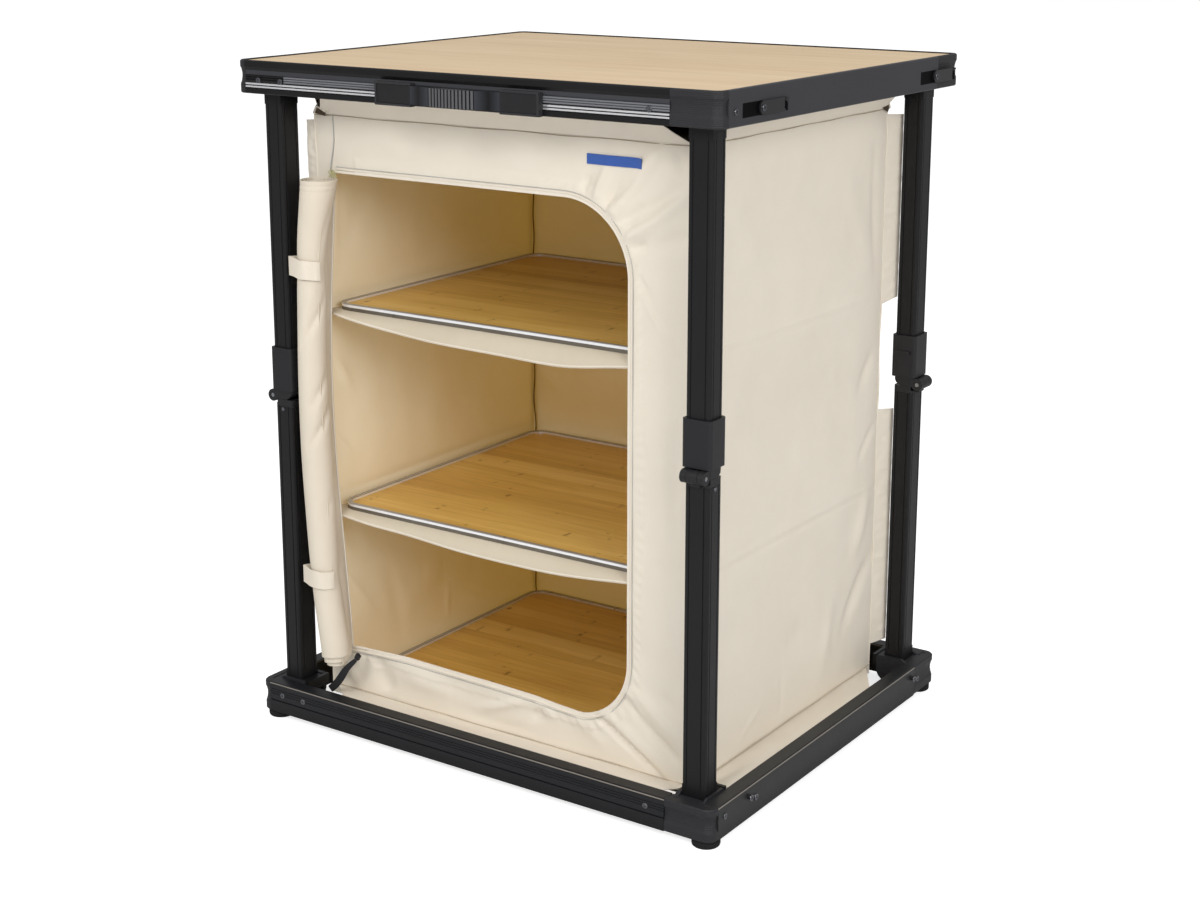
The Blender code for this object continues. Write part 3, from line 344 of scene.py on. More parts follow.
finish_nodes(handle_rubber(), "handle_strap")
rubber = Paint("black_rubber", (26, 26, 27), 0.8, Specular_IOR_Level=0.25)
grain = rubber.cloud(700.0, detail=4.0, rough=0.7)
rubber.coat(rubber.mix(grain, (16, 16, 17), (32, 32, 33)), 0.8, (grain, 0.00008))
finish_nodes(rubber.material, "foot_")
steel = Paint("zinc_steel", (150, 152, 156), 0.34, 1.0)
haze, fine = steel.cloud(60.0, detail=3.0), steel.cloud(1800.0)
tone = steel.mix(haze, shade(steel.colour, 0.85), steel.colour)
steel.coat(tone, haze * 0.12 + fine * 0.06 + 0.26, (fine, 0.00001))
finish_nodes(steel.material, "knee_pin")

# %% [markdown]
# A shelf's tube has painted light and shade in bands: a dull grey along its top, a painted highlight round the
# bend just below, and brownish painted shade where it faces the cloth underneath, so its metal reads how high
# a point lies above the shelf's level.

# %% Shelf tubes
SHELF_LEVELS = {"shelf_middle": 0.2705, "shelf_upper": 0.5225}
FLOOR_LEVEL = 0.0335
BRIGHT_FROM, BRIGHT_TO = -0.0002, 0.0027


def tube_metal(name, level):
    paint = Paint(name, (214, 214, 218), 0.3, 0.45)
    z, haze = paint.axis("Z") - level, paint.cloud(40.0, detail=3.0)
    # Painted light by height: brownish painted shade below, a painted highlight at the bend, dull grey on top.
    low = paint.mix(haze, (92, 86, 76), (122, 114, 102))
    bright = paint.mix(haze, (240, 240, 242), (253, 253, 254))
    dull = paint.mix(haze, (150, 148, 145), (176, 174, 171))
    paint.coat(paint.mix(z > BRIGHT_TO, paint.mix(z > BRIGHT_FROM, low, bright), dull), haze * 0.12 + 0.24)
    return paint.material


for body, level in (*SHELF_LEVELS.items(), ("shelf_lower", FLOOR_LEVEL)):
    part = body.removeprefix("shelf_")
    finish_nodes(tube_metal(f"{part}_tube_metal", level), f"shelf_frame_{part}")


# %% [markdown]
# ## Wood
# The worktop is a board with a printed wood film: pale, with long faint streaks, and dark brown underneath.
# The shelves are bamboo plywood: golden, with short dense fibres and the small dark marks of cane joints.
# Stretched clouds make the streaks. The joints are thin lines at each strip's own places, broken by a cloud.

# %% Worktop and bamboo
PANEL_BACK = 0.8135
STRIP_WIDE, JOINT_APART = 0.021, 0.19


def wood_film():
    paint = Paint("wood_film", (206, 178, 136), 0.5, Specular_IOR_Level=0.2)
    wide = paint.cloud(9.0, (0.22, 1.5, 1), 4.0, 0.55)
    streak, fine = paint.cloud(60.0, (0.05, 1, 1), 5.0, 0.6), paint.cloud(420.0, (0.04, 1, 1), 3.0, 0.6)
    stops = [(0.30, (193, 165, 128)), (0.5, (207, 183, 149)), (0.72, (219, 197, 165))]
    film = paint.box("ShaderNodeValToRGB", {"stops": stops}, {0: wide * 0.30 + streak * 0.42 + fine * 0.28})
    back = paint.mix(streak, (62, 45, 29), (88, 66, 44))
    paint.coat(paint.mix(paint.axis("Z") < PANEL_BACK, film, back), fine * 0.12 + 0.46, (fine, 0.00002))
    return paint.material


def bamboo():
    paint = Paint("bamboo", (206, 160, 84), 0.45, Specular_IOR_Level=0.3)
    wide, fibre = paint.cloud(12.0, (0.30, 1.6, 1), 3.0, 0.55), paint.cloud(190.0, (0.045, 1, 1), 4.0, 0.65)
    strips = (paint.axis("Y") * (1 / STRIP_WIDE)).maths("FLOOR")
    tint = paint.box("ShaderNodeTexWhiteNoise", {"noise_dimensions": "1D"}, {"W": strips})
    ring = ((paint.axis("X") + tint * 0.37) * (1 / JOINT_APART)).maths("FRACT")
    joint = (1 - (ring - 0.5).maths("ABSOLUTE") * 42.0).maths("MAXIMUM", 0.0)
    patch = (paint.cloud(130.0, (0.6, 1, 1)) - 0.48).maths("MAXIMUM", 0.0) * 4.0
    stops = [(0.26, (182, 134, 58)), (0.5, (214, 171, 88)), (0.76, (236, 199, 120))]
    wood = paint.box("ShaderNodeValToRGB", {"stops": stops}, {0: wide * 0.36 + fibre * 0.44 + tint * 0.20})
    tone = paint.mix((joint * patch).maths("MINIMUM", 0.75), wood, (112, 72, 28))
    paint.coat(tone, fibre * 0.14 + 0.34, (fibre, 0.00003))
    return paint.material


finish_nodes(wood_film(), "table_top")
finish_nodes(bamboo(), "shelf_board")


# %% [markdown]
# ## Cloth
# The cabinet is a coated polyester canvas, cream outside and a warmer tan inside. Its weave is well under a
# millimetre wide. Two crossed waves give the threads, and a cloud breaks up their evenness. Slow clouds give
# the change of tone that a large piece of cloth always has. The lining is given a faint warm glow, painted
# light for daylight that comes through the thin cloth. Darker copies of the canvas are painted shade, under
# the shelves and the roof, along seams and in folded corners.

# %% Canvas
def canvas(name, colour, warm, thread=0.0007, roughness=0.86, through=0.0):
    paint = Paint(name, colour, roughness, Sheen_Weight=0.08, Specular_IOR_Level=0.25)
    step = 2 * math.pi / thread
    x, y, z = (paint.axis(axis) for axis in "XYZ")
    rise, across = ((along * step).maths("SINE") * 0.5 + 0.5 for along in (z, x + y))
    uneven = paint.cloud(900.0)
    tone = paint.cloud(7.0, detail=4.0, rough=0.6) * 0.6 + paint.cloud(60.0, detail=3.0) * 0.2 + uneven * 0.2
    weave = (rise * across) * 0.7 + uneven * 0.3
    tone = paint.mix(tone, warm, shade(paint.colour, 1.05))
    paint.coat(tone, uneven * 0.1 + (roughness - 0.05), (weave, 0.00007))
    # Emission here is painted light: the cloth glows as if daylight came through it.
    if through:
        paint.give("Emission Color", linear((255, 198, 50)))
        paint.give("Emission Strength", through)
    return paint.material


cream = canvas("cream_canvas", (229, 221, 207), (221, 211, 195))
# The lining's faint glow is painted light.
tan = canvas("tan_lining", (235, 226, 206), (226, 215, 190), through=0.085)
# A darker copy of the cream canvas, painted shade, for the shelf cloths and the inner seam tapes.
shaded_shelf_canvas = canvas("shaded_shelf_canvas", (207, 197, 178), (194, 181, 158))
# The roof's dark brown is painted shade: the cream cloth as it lies under the worktop.
shaded_roof_canvas = canvas("shaded_roof_canvas", (132, 108, 78), (112, 90, 62))
door_canvas = canvas("door_canvas", (221, 211, 195), (210, 199, 180))
# A dark sheet of painted shade for the hollows of folded corners.
painted_hollow_shade = canvas("fold_hollow", (84, 68, 48), (52, 42, 30))
# Darker copies of the canvas for the thin lines at the flap seams: painted shade, fainter at the bottom.
painted_seam_shade = canvas("painted_seam_shade", (172, 157, 134), (146, 130, 108))
faint_seam_shade_paint = canvas("faint_seam_shade", (202, 188, 166), (184, 168, 144))
# A dark brown copy of the canvas, painted shade along the inner seams' folds.
seam_fold_shade = canvas("inner_seam_shadow", (120, 94, 54), (92, 70, 38))
trim = canvas("cream_trim", (226, 217, 202), (218, 207, 190), thread=0.0009)
black_web = canvas("black_webbing", (34, 34, 36), (24, 24, 26), thread=0.0011, roughness=0.75)
blue_tape = canvas("blue_label", (62, 96, 170), (52, 84, 156), thread=0.0005, roughness=0.6)
yellow_thread = canvas("yellow_thread", (205, 200, 150), (180, 176, 120), thread=0.0006)
grey_paint = Paint("grey_thread", (172, 172, 170), 0.7)
grey_paint.coat(grey_paint.colour, 0.7, (grey_paint.cloud(2500.0), 0.00005))
grey_thread = grey_paint.material
print("cloth finishes ready")

# %% [markdown]
# ## Sewing
# A piece of cloth starts here as rows of points, which is how a pattern is drafted: where each row of threads
# lies in the room. The rows are joined into faces, given creases by moving points a little, and then given a
# thickness. Creases run where the cloth is pulled, so each is written as a line with a width and a height.
# Lists of places are in millimetres, as a tape measure gives them.

# %% Helpers for the bench
FRONT_CLOTH, CLOTH, FLAP_CLOTH = 0.0011, 0.0009, 0.0008


def metres(*rows):
    return [tuple(v / 1000 for v in row) for row in rows]


def steps(first, last, count):
    """Evenly spaced numbers from first to last."""
    return np.linspace(first, last, count + 1).tolist()


def make_active(piece, *others):
    """Selects these pieces alone. The first is the one that the operators work on."""
    bpy.ops.object.select_all(action="DESELECT")
    for chosen in (piece, *others):
        chosen.select_set(True)
    bpy.context.view_layer.objects.active = piece


def modify(piece, kind, **settings):
    """Adds a modifier to a piece and applies it."""
    make_active(piece)
    bpy.ops.object.modifier_add(type=kind)
    change = piece.modifiers[-1]
    for key, value in settings.items():
        setattr(change, key, value)
    bpy.ops.object.modifier_apply(modifier=change.name)
    return piece


def smooth(piece, angle):
    piece.data.shade_smooth()
    piece.data.set_sharp_from_angle(angle=math.radians(angle))
    return piece


# %% Cloth from rows of points
def new_piece(name, points, faces, material):
    mesh = bpy.data.meshes.new(name)
    mesh.from_pydata(points, [], faces)
    piece = bpy.data.objects.new(name, mesh)
    bpy.context.scene.collection.objects.link(piece)
    wear(piece, material)
    return piece


def from_rows(name, rows, material, ring=False):
    """A mesh from rows of points. ring joins each row's last point to its first."""
    rows = np.asarray(rows, float)
    high, wide = rows.shape[:2]
    faces = []
    for i in range(high - 1):
        for j in range(wide if ring else wide - 1):
            k = (j + 1) % wide
            faces.append((i * wide + j, i * wide + k, (i + 1) * wide + k, (i + 1) * wide + j))
    return new_piece(name, rows.reshape(-1, 3).tolist(), faces, material)


def thicken(piece, thick=CLOTH, inside=None, offset=0.0):
    """Gives cloth its thickness, both ways or away from its faces. inside is that side's finish."""
    settings = {"thickness": thick, "offset": offset, "use_even_offset": False}
    if inside:
        piece.data.materials.append(inside)
        settings.update(material_offset=1, material_offset_rim=0)
    return smooth(modify(piece, "SOLIDIFY", **settings), 50)


def pulled(u, v, lines):
    """How far creases lift the cloth at u, v. A line is its two ends, its width and its height."""
    lift = np.zeros_like(u)
    for u0, v0, u1, v1, width, height in lines:
        du, dv = u1 - u0, v1 - v0
        share = np.clip(((u - u0) * du + (v - v0) * dv) / (du * du + dv * dv), 0, 1)
        away = np.hypot(u - (u0 + du * share), v - (v0 + dv * share))
        lift += height * np.exp(-((away / width) ** 2)) * np.sin(math.pi * np.clip(share, 0.04, 0.96)) ** 0.6
    return lift


def slack(u, v, size, height, seed):
    """The slow unevenness of cloth that isn't quite tight, at u, v. size is in metres."""
    start = Vector((seed * 3.1, seed * 7.7, seed * 1.3))
    points = zip((u / size).ravel(), (v / size).ravel())
    return np.array([noise.noise(Vector((a, 0, b)) + start) for a, b in points]).reshape(u.shape) * height


# %% [markdown]
# ### Side and rear walls
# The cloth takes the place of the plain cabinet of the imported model, so its walls lie on the same planes.
# Each wall is drawn in a little between the shelf levels, because only the shelves hold it out. Under strain,
# cloth creases towards the points that hold it. The right wall shows a narrow level crease at each shelf
# cloth's seam, soft upright folds towards the rear, and a puffed corner at the bottom.

# %% The cabinet's planes
SIDE_X, FRONT_Y, REAR_Y = 0.2665, -0.20825, 0.22475
LOW_Z, HIGH_Z = 0.026, 0.758
LEVELS = (LOW_Z, *SHELF_LEVELS.values(), HIGH_Z)
DRAWN_IN, CREASE_SCALE, WALL_STEP = 0.0035, 1.7, 0.0038
print("cabinet", round(2 * SIDE_X, 3), "by", round(REAR_Y - FRONT_Y, 3), "by", round(HIGH_Z - LOW_Z, 3))


def draw_in(z, share):
    """How far a wall is drawn in at height z, a share from -1 to 1 across it."""
    pull = np.zeros_like(z)
    for low, high in zip(LEVELS, LEVELS[1:]):
        part = np.clip((z - low) / (high - low), 0, 1)
        pull = np.where((z > low) & (z < high), np.sin(math.pi * part) ** 0.7, pull)
    return DRAWN_IN * pull * (1 - np.abs(share) ** 4)


def wall(name, start, end, outwards, lines, seed):
    """A side or rear wall, from one upright edge to the other as seen from outside, left to right."""
    start, end, outwards = (np.array(point) for point in (start, end, outwards))
    wide = float(np.hypot(*(end - start)))
    share, z = np.meshgrid(np.linspace(0, 1, round(wide / WALL_STEP) + 1), np.linspace(LOW_Z, HIGH_Z, 194))
    near_shelf = np.min([np.abs(z - level) for level in SHELF_LEVELS.values()], axis=0)
    loose = np.clip(np.minimum(share, 1 - share) * 14, 0, 1) * np.clip(near_shelf / 0.022, 0.12, 1)
    loose *= np.clip(np.minimum(z - LOW_Z, HIGH_Z - z) * 30, 0, 1)
    lift = pulled(share * wide, z, lines) * CREASE_SCALE - draw_in(z, 2 * share - 1)
    lift += slack(share * wide, z, 0.13, 0.0030, seed) * loose
    lift += slack(share * wide, z, 0.045, 0.0011, seed + 5) * loose
    lift = np.clip(lift, -0.0085, 0.0034)
    points = start + share[..., None] * (end - start) + lift[..., None] * outwards
    rows = np.concatenate([points, z[..., None]], 2)
    return thicken(from_rows(name, rows, cream), inside=tan, offset=-1.0)


# %% Side and rear walls
side_lines = metres(
    (-20, 526.2, 450, 520.5, 2.6, -1.2), (-20, 530, 450, 524.5, 6, 0.8),
    (-20, 274.5, 450, 276.5, 2.6, -1.2), (-20, 279, 450, 281, 6, 0.8), (424, 187, 360, 110, 10, -3),
    (410, 275, 384, 200, 12, 2.6), (105, 52, 165, 85, 4, 0.9), (206, 100, 203, 56, 4, -0.9),
    (387, 325, 424, 362, 5, -1.6), (416, 456, 386, 411, 8, -1.6), (215, 133, 262, 135, 20, -1.6),
    (50, 700, 140, 610, 16, 1.2), (330, 690, 400, 580, 18, 1.4), (60, 470, 180, 340, 20, 1.2),
    (404, 720, 412, 560, 7, -1.4), (330, 160, 300, 70, 12, 1.4),
)
REAR_STRETCH = 1.23
rear_lines = [(a * REAR_STRETCH, b, c * REAR_STRETCH, *rest) for a, b, c, *rest in side_lines]
right_wall = wall("right_wall", (SIDE_X, FRONT_Y), (SIDE_X, REAR_Y), (1, 0), side_lines, 1)
left_wall = wall("left_wall", (-SIDE_X, REAR_Y), (-SIDE_X, FRONT_Y), (-1, 0), side_lines, 2)
rear_wall = wall("rear_wall", (SIDE_X, REAR_Y), (-SIDE_X, REAR_Y), (0, 1), rear_lines, 3)
walls = [right_wall, left_wall, rear_wall]
print("walls", [len(w.data.polygons) for w in walls])

# %% [markdown]
# ### The front with its opening
# The opening has square corners at the left, where the door hangs and pulls the edge into a bow, and round
# ones at the right, so that one zip can run round it. Rows of points run round the opening like rings round
# a pond, from its edge out to the edge of the wall, so the edge itself is a clean line that a binding can
# follow. The creases fan out from the two round corners, where the zip pulls the cloth.

# %% The opening's edge
OPEN_X, OPEN_Z = (-0.2380, 0.1785), (0.092, 0.687)
ROUND_HIGH, ROUND_LOW = 0.085, 0.070
sill_x, sill_z = metres((-238, -225, -143, -76, -2, 50, 85, 120, 180),
                        (93, 94.5, 97.5, 96.2, 95.2, 93.6, 90.5, 88.5, 90.5))


def bowed(z):
    """How far the opening's left edge bows out at height z."""
    part = min(1.0, max(0.0, (z - OPEN_Z[0]) / (OPEN_Z[1] - OPEN_Z[0])))
    return -0.0175 * math.sin(math.pi * part ** 1.15) ** 1.2 + 0.006 * (1 - part)


def opening_edge(step):
    """The opening's edge, as x and z points, from the bottom left round to the top left and back."""
    line = []

    def straight(a, b):
        (ax, az), (bx, bz), count = a, b, max(2, round(math.dist(a, b) / step))
        line.extend((ax + (bx - ax) * i / count, az + (bz - az) * i / count) for i in range(count))

    def bend(cx, cz, radius, start):
        count = round(math.pi / 2 * radius / step)
        for angle in (math.radians(start + 90 * i / count) for i in range(count)):
            line.append((cx + radius * math.cos(angle), cz + radius * math.sin(angle)))

    (left, right), (bottom, top) = OPEN_X, OPEN_Z
    straight((left, bottom), (right - ROUND_LOW, bottom))
    bend(right - ROUND_LOW, bottom + ROUND_LOW, ROUND_LOW, -90)
    straight((right, bottom + ROUND_LOW), (right, top - ROUND_HIGH))
    bend(right - ROUND_HIGH, top - ROUND_HIGH, ROUND_HIGH, 0)
    straight((right - ROUND_HIGH, top), (left, top))
    straight((left, top), (left, bottom))
    shaped = []
    for x, z in line:
        near_left, low = max(0.0, 1 - (x - left) / 0.10) ** 2, max(0.0, 1 - (z - bottom) / 0.09)
        shaped.append((x + bowed(z) * near_left, z + (float(np.interp(x, sill_x, sill_z)) - bottom) * low))
    return shaped


edge = opening_edge(0.0026)
print("opening edge of", len(edge), "points")


# %% Rings from the opening to the wall's edge
centre = (sum(OPEN_X) / 2, sum(OPEN_Z) / 2)


def out_to_frame(x, z):
    """Where a line from the middle of the opening through x, z meets the wall's edge."""
    (mx, mz), reach = centre, []
    if abs(x - mx) > 1e-9:
        reach.append((math.copysign(SIDE_X, x - mx) - mx) / (x - mx))
    if abs(z - mz) > 1e-9:
        reach.append(((HIGH_Z if z > mz else LOW_Z) - mz) / (z - mz))
    return mx + (x - mx) * min(reach), mz + (z - mz) * min(reach)


outer = [out_to_frame(x, z) for x, z in edge]
for corner in ((-SIDE_X, LOW_Z), (SIDE_X, LOW_Z), (SIDE_X, HIGH_Z), (-SIDE_X, HIGH_Z)):
    outer[min(range(len(outer)), key=lambda i: math.dist(outer[i], corner))] = corner
RINGS = 44
shares = np.array([(i / RINGS) ** 1.1 for i in range(RINGS + 1)])[:, None]
across = np.array(outer) - np.array(edge)
ring_points = np.array(edge) + across * shares[..., None]
px, pz = ring_points[..., 0], ring_points[..., 1]
from_edge = shares * np.hypot(*across.T)
print("rings", ring_points.shape)

# %% The front wall
front_lines = metres(
    (152, 672, 226, 757, 8.5, 4), (148.5, 682, 196, 722, 5.5, -2.8), (188, 668, 252, 712, 8, -3.2),
    (176, 646, 262, 712, 8.5, 3.8), (236, 750, 248, 720, 5, -2.4), (204, 640, 262, 660, 10, -2.4),
    (186, 602, 236, 530, 4, 0.8), (198, 600, 244, 532, 3.5, -0.7), (188, 612, 203, 594, 3, -1.1),
    (140, 685, 150, 745, 9, 0.9), (124, 100, 234, 31, 3.8, -4.2), (140, 104, 243, 40, 8.5, 2.4),
    (166, 128, 196, 101, 4, -2.4), (194, 103, 254, 56, 6, -3.2), (176, 143, 250, 82, 8.5, 2),
    (180, 142, 196, 134, 3.5, -1.4), (205, 145, 262, 110, 10, -1), (105, 86, 150, 52, 9, 1.2),
    (-185, 75, -176, 44, 13, -3), (-205, 88, -180, 78, 8, -1.6), (-158, 74, -70, 66, 13, 2.6),
    (-35, 57, 36, 83, 6, 2.2), (66, 84, 44, 62, 6, -2), (48, 88, 82, 72, 8, 1.6),
    (-250, 80, -225, 44, 8, 2), (-70, 48, 60, 46, 8, -0.8), (-200, 745, -120, 715, 12, 1),
    (-50, 720, 80, 733, 12, 0.9), (215, 500, 228, 300, 12, 1.2), (244, 460, 240, 330, 8, -0.9),
    (210, 290, 246, 180, 11, 1),
)
fan_centre = Vector((OPEN_X[1] - ROUND_HIGH, OPEN_Z[1] - ROUND_HIGH))
for number, degrees in enumerate((22, 31, 39, 48, 56, 65, 74)):
    out = Vector((math.cos(math.radians(degrees)), math.sin(math.radians(degrees))))
    start, end = fan_centre + out * 0.093, fan_centre + out * (0.118 + 0.010 * (number % 3))
    front_lines.append((*start, *end, 0.0048, 0.0027 if number % 2 else -0.0026))
lift = pulled(px, pz, front_lines) * 1.45 + slack(px, pz, 0.10, 0.0026, 4) + slack(px, pz, 0.032, 0.0007, 9)
lift *= np.clip((1 - shares) * 9, 0, 1) * np.clip(from_edge / 0.012, 0.1, 1)
facing_edge = 0.0195 + 0.0022 * slack(px, pz, 0.018, 1.0, 12)
lift += np.where(px > OPEN_X[0] + 0.03, 0.0011 / (1 + np.exp((from_edge - facing_edge) / 0.0010)), 0)
along = np.cumsum([0.0] + [math.dist(a, b) for a, b in zip(edge, edge[1:])])
gathered = ((0.120, 0.055), (0.660, 0.06))
tight = sum(np.exp(-(np.hypot(px - 0.150, pz - z) / reach) ** 2) for z, reach in gathered)
tight = np.clip(tight + 0.10 * (pz < 0.105) + 0.30 * (px > 0.17) + 0.12, 0, 1)
gathers = np.sin(along * 2 * math.pi / 0.0125 + 3.0 * slack(px, pz, 0.03, 1.0, 21)) * tight
lift += 0.0009 * gathers * np.exp(-(((from_edge - 0.0165) / 0.0065) ** 2))
rows = np.stack([px, FRONT_Y - np.clip(lift, -0.0055, 0.0060), pz], 2)
front_wall = thicken(from_rows("front_wall", rows[::-1], cream, ring=True), FRONT_CLOTH, tan, -1.0)
print("front wall", len(front_wall.data.polygons), "faces")


# %% [markdown]
# ### Binding and zip
# The raw edge of the opening is turned under and sewn: a soft roll along the edge, and beside it the zip's
# coil, a row of small grey teeth. Each tooth has only 26 faces, because there are hundreds. A thin seam
# runs up from the zip's end to the top of the cabinet.

# %% Tapes that follow a line
def tape(name, line, width, thick, material, normal=(0, -1, 0), sides=8, closed=False):
    """A flat band with round edges that follows a line. normal is the way that its face looks."""
    line = [Vector(p) for p in line]
    count, rows = len(line), []
    for i, point in enumerate(line):
        before = line[i - 1] if i or closed else point
        after = line[(i + 1) % count] if i < count - 1 or closed else point
        along, up = (after - before).normalized(), Vector(normal)
        up = (up - along * up.dot(along)).normalized()
        side, ring = along.cross(up), []
        for k in range(sides):
            angle = 2 * math.pi * k / sides
            u, v = (math.copysign(abs(w) ** 0.6, w) for w in (math.cos(angle), math.sin(angle)))
            ring.append(point + side * (u * width / 2) + up * (v * thick / 2))
        rows.append(ring)
    piece = from_rows(name, rows + (rows[:1] if closed else []), material, ring=True)
    shape = bmesh.new()
    shape.from_mesh(piece.data)
    bmesh.ops.remove_doubles(shape, verts=shape.verts, dist=1e-6)
    if not closed:
        bmesh.ops.holes_fill(shape, edges=[e for e in shape.edges if e.is_boundary])
    bmesh.ops.recalc_face_normals(shape, faces=shape.faces)
    shape.to_mesh(piece.data)
    shape.free()
    return smooth(piece, 60)


def on_front(line, proud):
    return [(x, FRONT_Y - proud, z) for x, z in line]


def beside_edge(line, by):
    """The opening's edge moved away from its middle, square to itself."""
    made = []
    for i, (x, z) in enumerate(line):
        (ax, az), (bx, bz) = line[i - 1], line[(i + 1) % len(line)]
        length = math.hypot(bx - ax, bz - az) or 1.0
        made.append((x + (bz - az) / length * by, z - (bx - ax) / length * by))
    return made


# %% Binding, zip tape and the seam above the zip
ZIP_LEFT = OPEN_X[0] + 0.002
binding = tape("opening_binding", on_front(beside_edge(edge, 0.0012), -0.0003), 0.0034, 0.0024, cream,
               sides=10, closed=True)
zip_line = [p for p in beside_edge(edge, 0.0050) if p[0] > ZIP_LEFT]
start = max(range(len(zip_line)), key=lambda i: math.dist(zip_line[i - 1], zip_line[i]))
zip_round = on_front(zip_line[start:] + zip_line[:start], 0.0012)
zip_tape = tape("zip_tape", zip_round, 0.0030, 0.0012, trim, sides=10)
front_seam_line = metres(
    (-238.4, 756), (-237.5, 740), (-237.4, 725), (-239.5, 712), (-242.5, 699), (-244, 690))
front_seam = tape("front_seam", on_front(front_seam_line, 0.0008), 0.0013, 0.0010, grey_thread, sides=6)
print("binding", len(binding.data.polygons), "faces")


# %% The zip's teeth
def block(name, size, material, bevel, segments=2):
    """A small block made at the origin, with its edges taken off."""
    bpy.ops.mesh.primitive_cube_add(size=1)
    piece = bpy.context.active_object
    piece.name = piece.data.name = name
    piece.data.transform(Matrix.Diagonal((*size, 1)))
    wear(piece, material)
    return modify(piece, "BEVEL", width=bevel, segments=segments)


def scatter(name, pattern, places):
    """Copies a small pattern piece to each place, a matrix, in one mesh."""
    base = np.array([v.co for v in pattern.data.vertices])
    points, faces = [], []
    for matrix in (np.array(place) for place in places):
        faces.extend([len(points) + v for v in face.vertices] for face in pattern.data.polygons)
        points.extend((base @ matrix[:3, :3].T + matrix[:3, 3]).tolist())
    piece = new_piece(name, points, faces, pattern.data.materials[0])
    bpy.data.objects.remove(pattern)
    return piece


teeth_line = [p for p in beside_edge(opening_edge(0.0022), 0.0074) if p[0] > ZIP_LEFT]
places = []
for here, after in zip(teeth_line, teeth_line[1:]):
    if math.dist(here, after) < 0.01:
        lean = math.atan2(after[1] - here[1], after[0] - here[0])
        places.append(Matrix.Translation(*on_front([here], 0.0021)) @ Matrix.Rotation(-lean, 4, "Y"))
zip_teeth = scatter("zip_teeth", block("tooth", (0.0013, 0.0008, 0.0011), grey_thread, 0.0002, 1), places)
print("zip teeth", len(places))

# %% [markdown]
# ### Flaps to the frame
# Long flaps tie the cabinet to the rails, above and below, and narrow ones run to the legs at the front left
# and rear right. A flap hangs between two lines, so its rows run from the one to the other, with a slight
# belly where it isn't tight. The narrow ones are gathered, so they pucker about every centimetre.

# %% Flaps
FLAP_BELLY, FLAP_START = 0.0016, 0.008
RAIL_IN_X, RAIL_IN_FRONT, RAIL_IN_REAR = 0.3114, -0.25315, 0.26965
LONG_ENDS, SHORT_ENDS = ((0.050, 0.040), (0.056, 0.013)), ((0.030, 0.040), (0.002, 0.087))


def flap(name, wall_ends, rail_ends, seed, lean=(0, 0, -1), lumps=9):
    """A strip of cloth from a line on the wall to a line at the rail. It bellies out towards lean."""
    rows = []
    for share in steps(0, 1, 8):
        left, right = (Vector(a).lerp(Vector(b), share) for a, b in zip(wall_ends, rail_ends))
        belly, row = FLAP_BELLY * math.sin(math.pi * (0.1 + 0.8 * share)), []
        for across in steps(0, 1, 150):
            lump = noise.noise(Vector((across * lumps + seed, share * 1.5, seed)))
            row.append(left.lerp(right, across) + Vector(lean) * belly * (0.5 + 1.4 * lump))
        rows.append(row)
    return thicken(from_rows(name, rows, cream), FLAP_CLOTH)


def long_line(a, b, z, ends):
    """A line from corner a to corner b at height z, cut back by ends."""
    a, b = Vector((*a, z)), Vector((*b, z))
    along = (b - a).normalized()
    return a + along * ends[0], b - along * ends[1]


# For each side: its two corners at the wall, then at the rail
sides = {
    "front": ((-SIDE_X, FRONT_Y), (SIDE_X, FRONT_Y), (-SIDE_X, RAIL_IN_FRONT), (SIDE_X, RAIL_IN_FRONT)),
    "rear": ((SIDE_X, REAR_Y), (-SIDE_X, REAR_Y), (SIDE_X, RAIL_IN_REAR), (-SIDE_X, RAIL_IN_REAR)),
    "right": ((SIDE_X, FRONT_Y), (SIDE_X, REAR_Y), (RAIL_IN_X, FRONT_Y), (RAIL_IN_X, REAR_Y)),
    "left": ((-SIDE_X, REAR_Y), (-SIDE_X, FRONT_Y), (-RAIL_IN_X, REAR_Y), (-RAIL_IN_X, FRONT_Y)),
}
flaps = []
for number, (side, (wall_a, wall_b, rail_a, rail_b)) in enumerate(sides.items()):
    above, below = LONG_ENDS if side in ("front", "rear") else SHORT_ENDS
    for label, wall_z, rail_z, ends, seed in (
            ("top", HIGH_Z - 0.0022, 0.7915, above, 11), ("bottom", LOW_Z + 0.0095, 0.0466, below, 21)):
        wall_line = long_line(wall_a, wall_b, wall_z, (FLAP_START, FLAP_START))
        rail_line = long_line(rail_a, rail_b, rail_z, ends)
        flaps.append(flap(f"{label}_flap_{side}", wall_line, rail_line, seed + number))

# %% Flaps to the legs
for sign, corner, y, end_y, reach in (
        (-1, "front_left", FRONT_Y + 0.0006, FRONT_Y + 0.0006, 0.0138),
        (1, "rear_right", REAR_Y - 0.0006, REAR_Y + 0.0195, 0.0122)):
    wall_x, end_x = sign * (SIDE_X - 0.0004), sign * (SIDE_X + reach)
    for part, low, high, lumps in (("lower", 0.066, 0.3785, 34), ("upper", 0.5125, 0.748, 26)):
        rise = 0.0085 if (corner, part) == ("rear_right", "upper") else 0.004
        wall_line = ((wall_x, y, low), (wall_x, y, high))
        end_line = ((end_x, end_y, low + rise), (end_x, end_y, high - 0.001))
        flaps.append(flap(f"leg_flap_{corner}_{part}", wall_line, end_line, 31, (0, sign, 0), lumps))
print("flaps", len(flaps))

# %% [markdown]
# ### Seams
# The walls are sewn together at the four upright edges and to the flaps along the top and bottom. A seam
# shows as a narrow raised cord outside, and as a folded tape with a dark edge in the corners inside. The dark
# edge and the thin lines where the flaps are sewn on are painted shade.

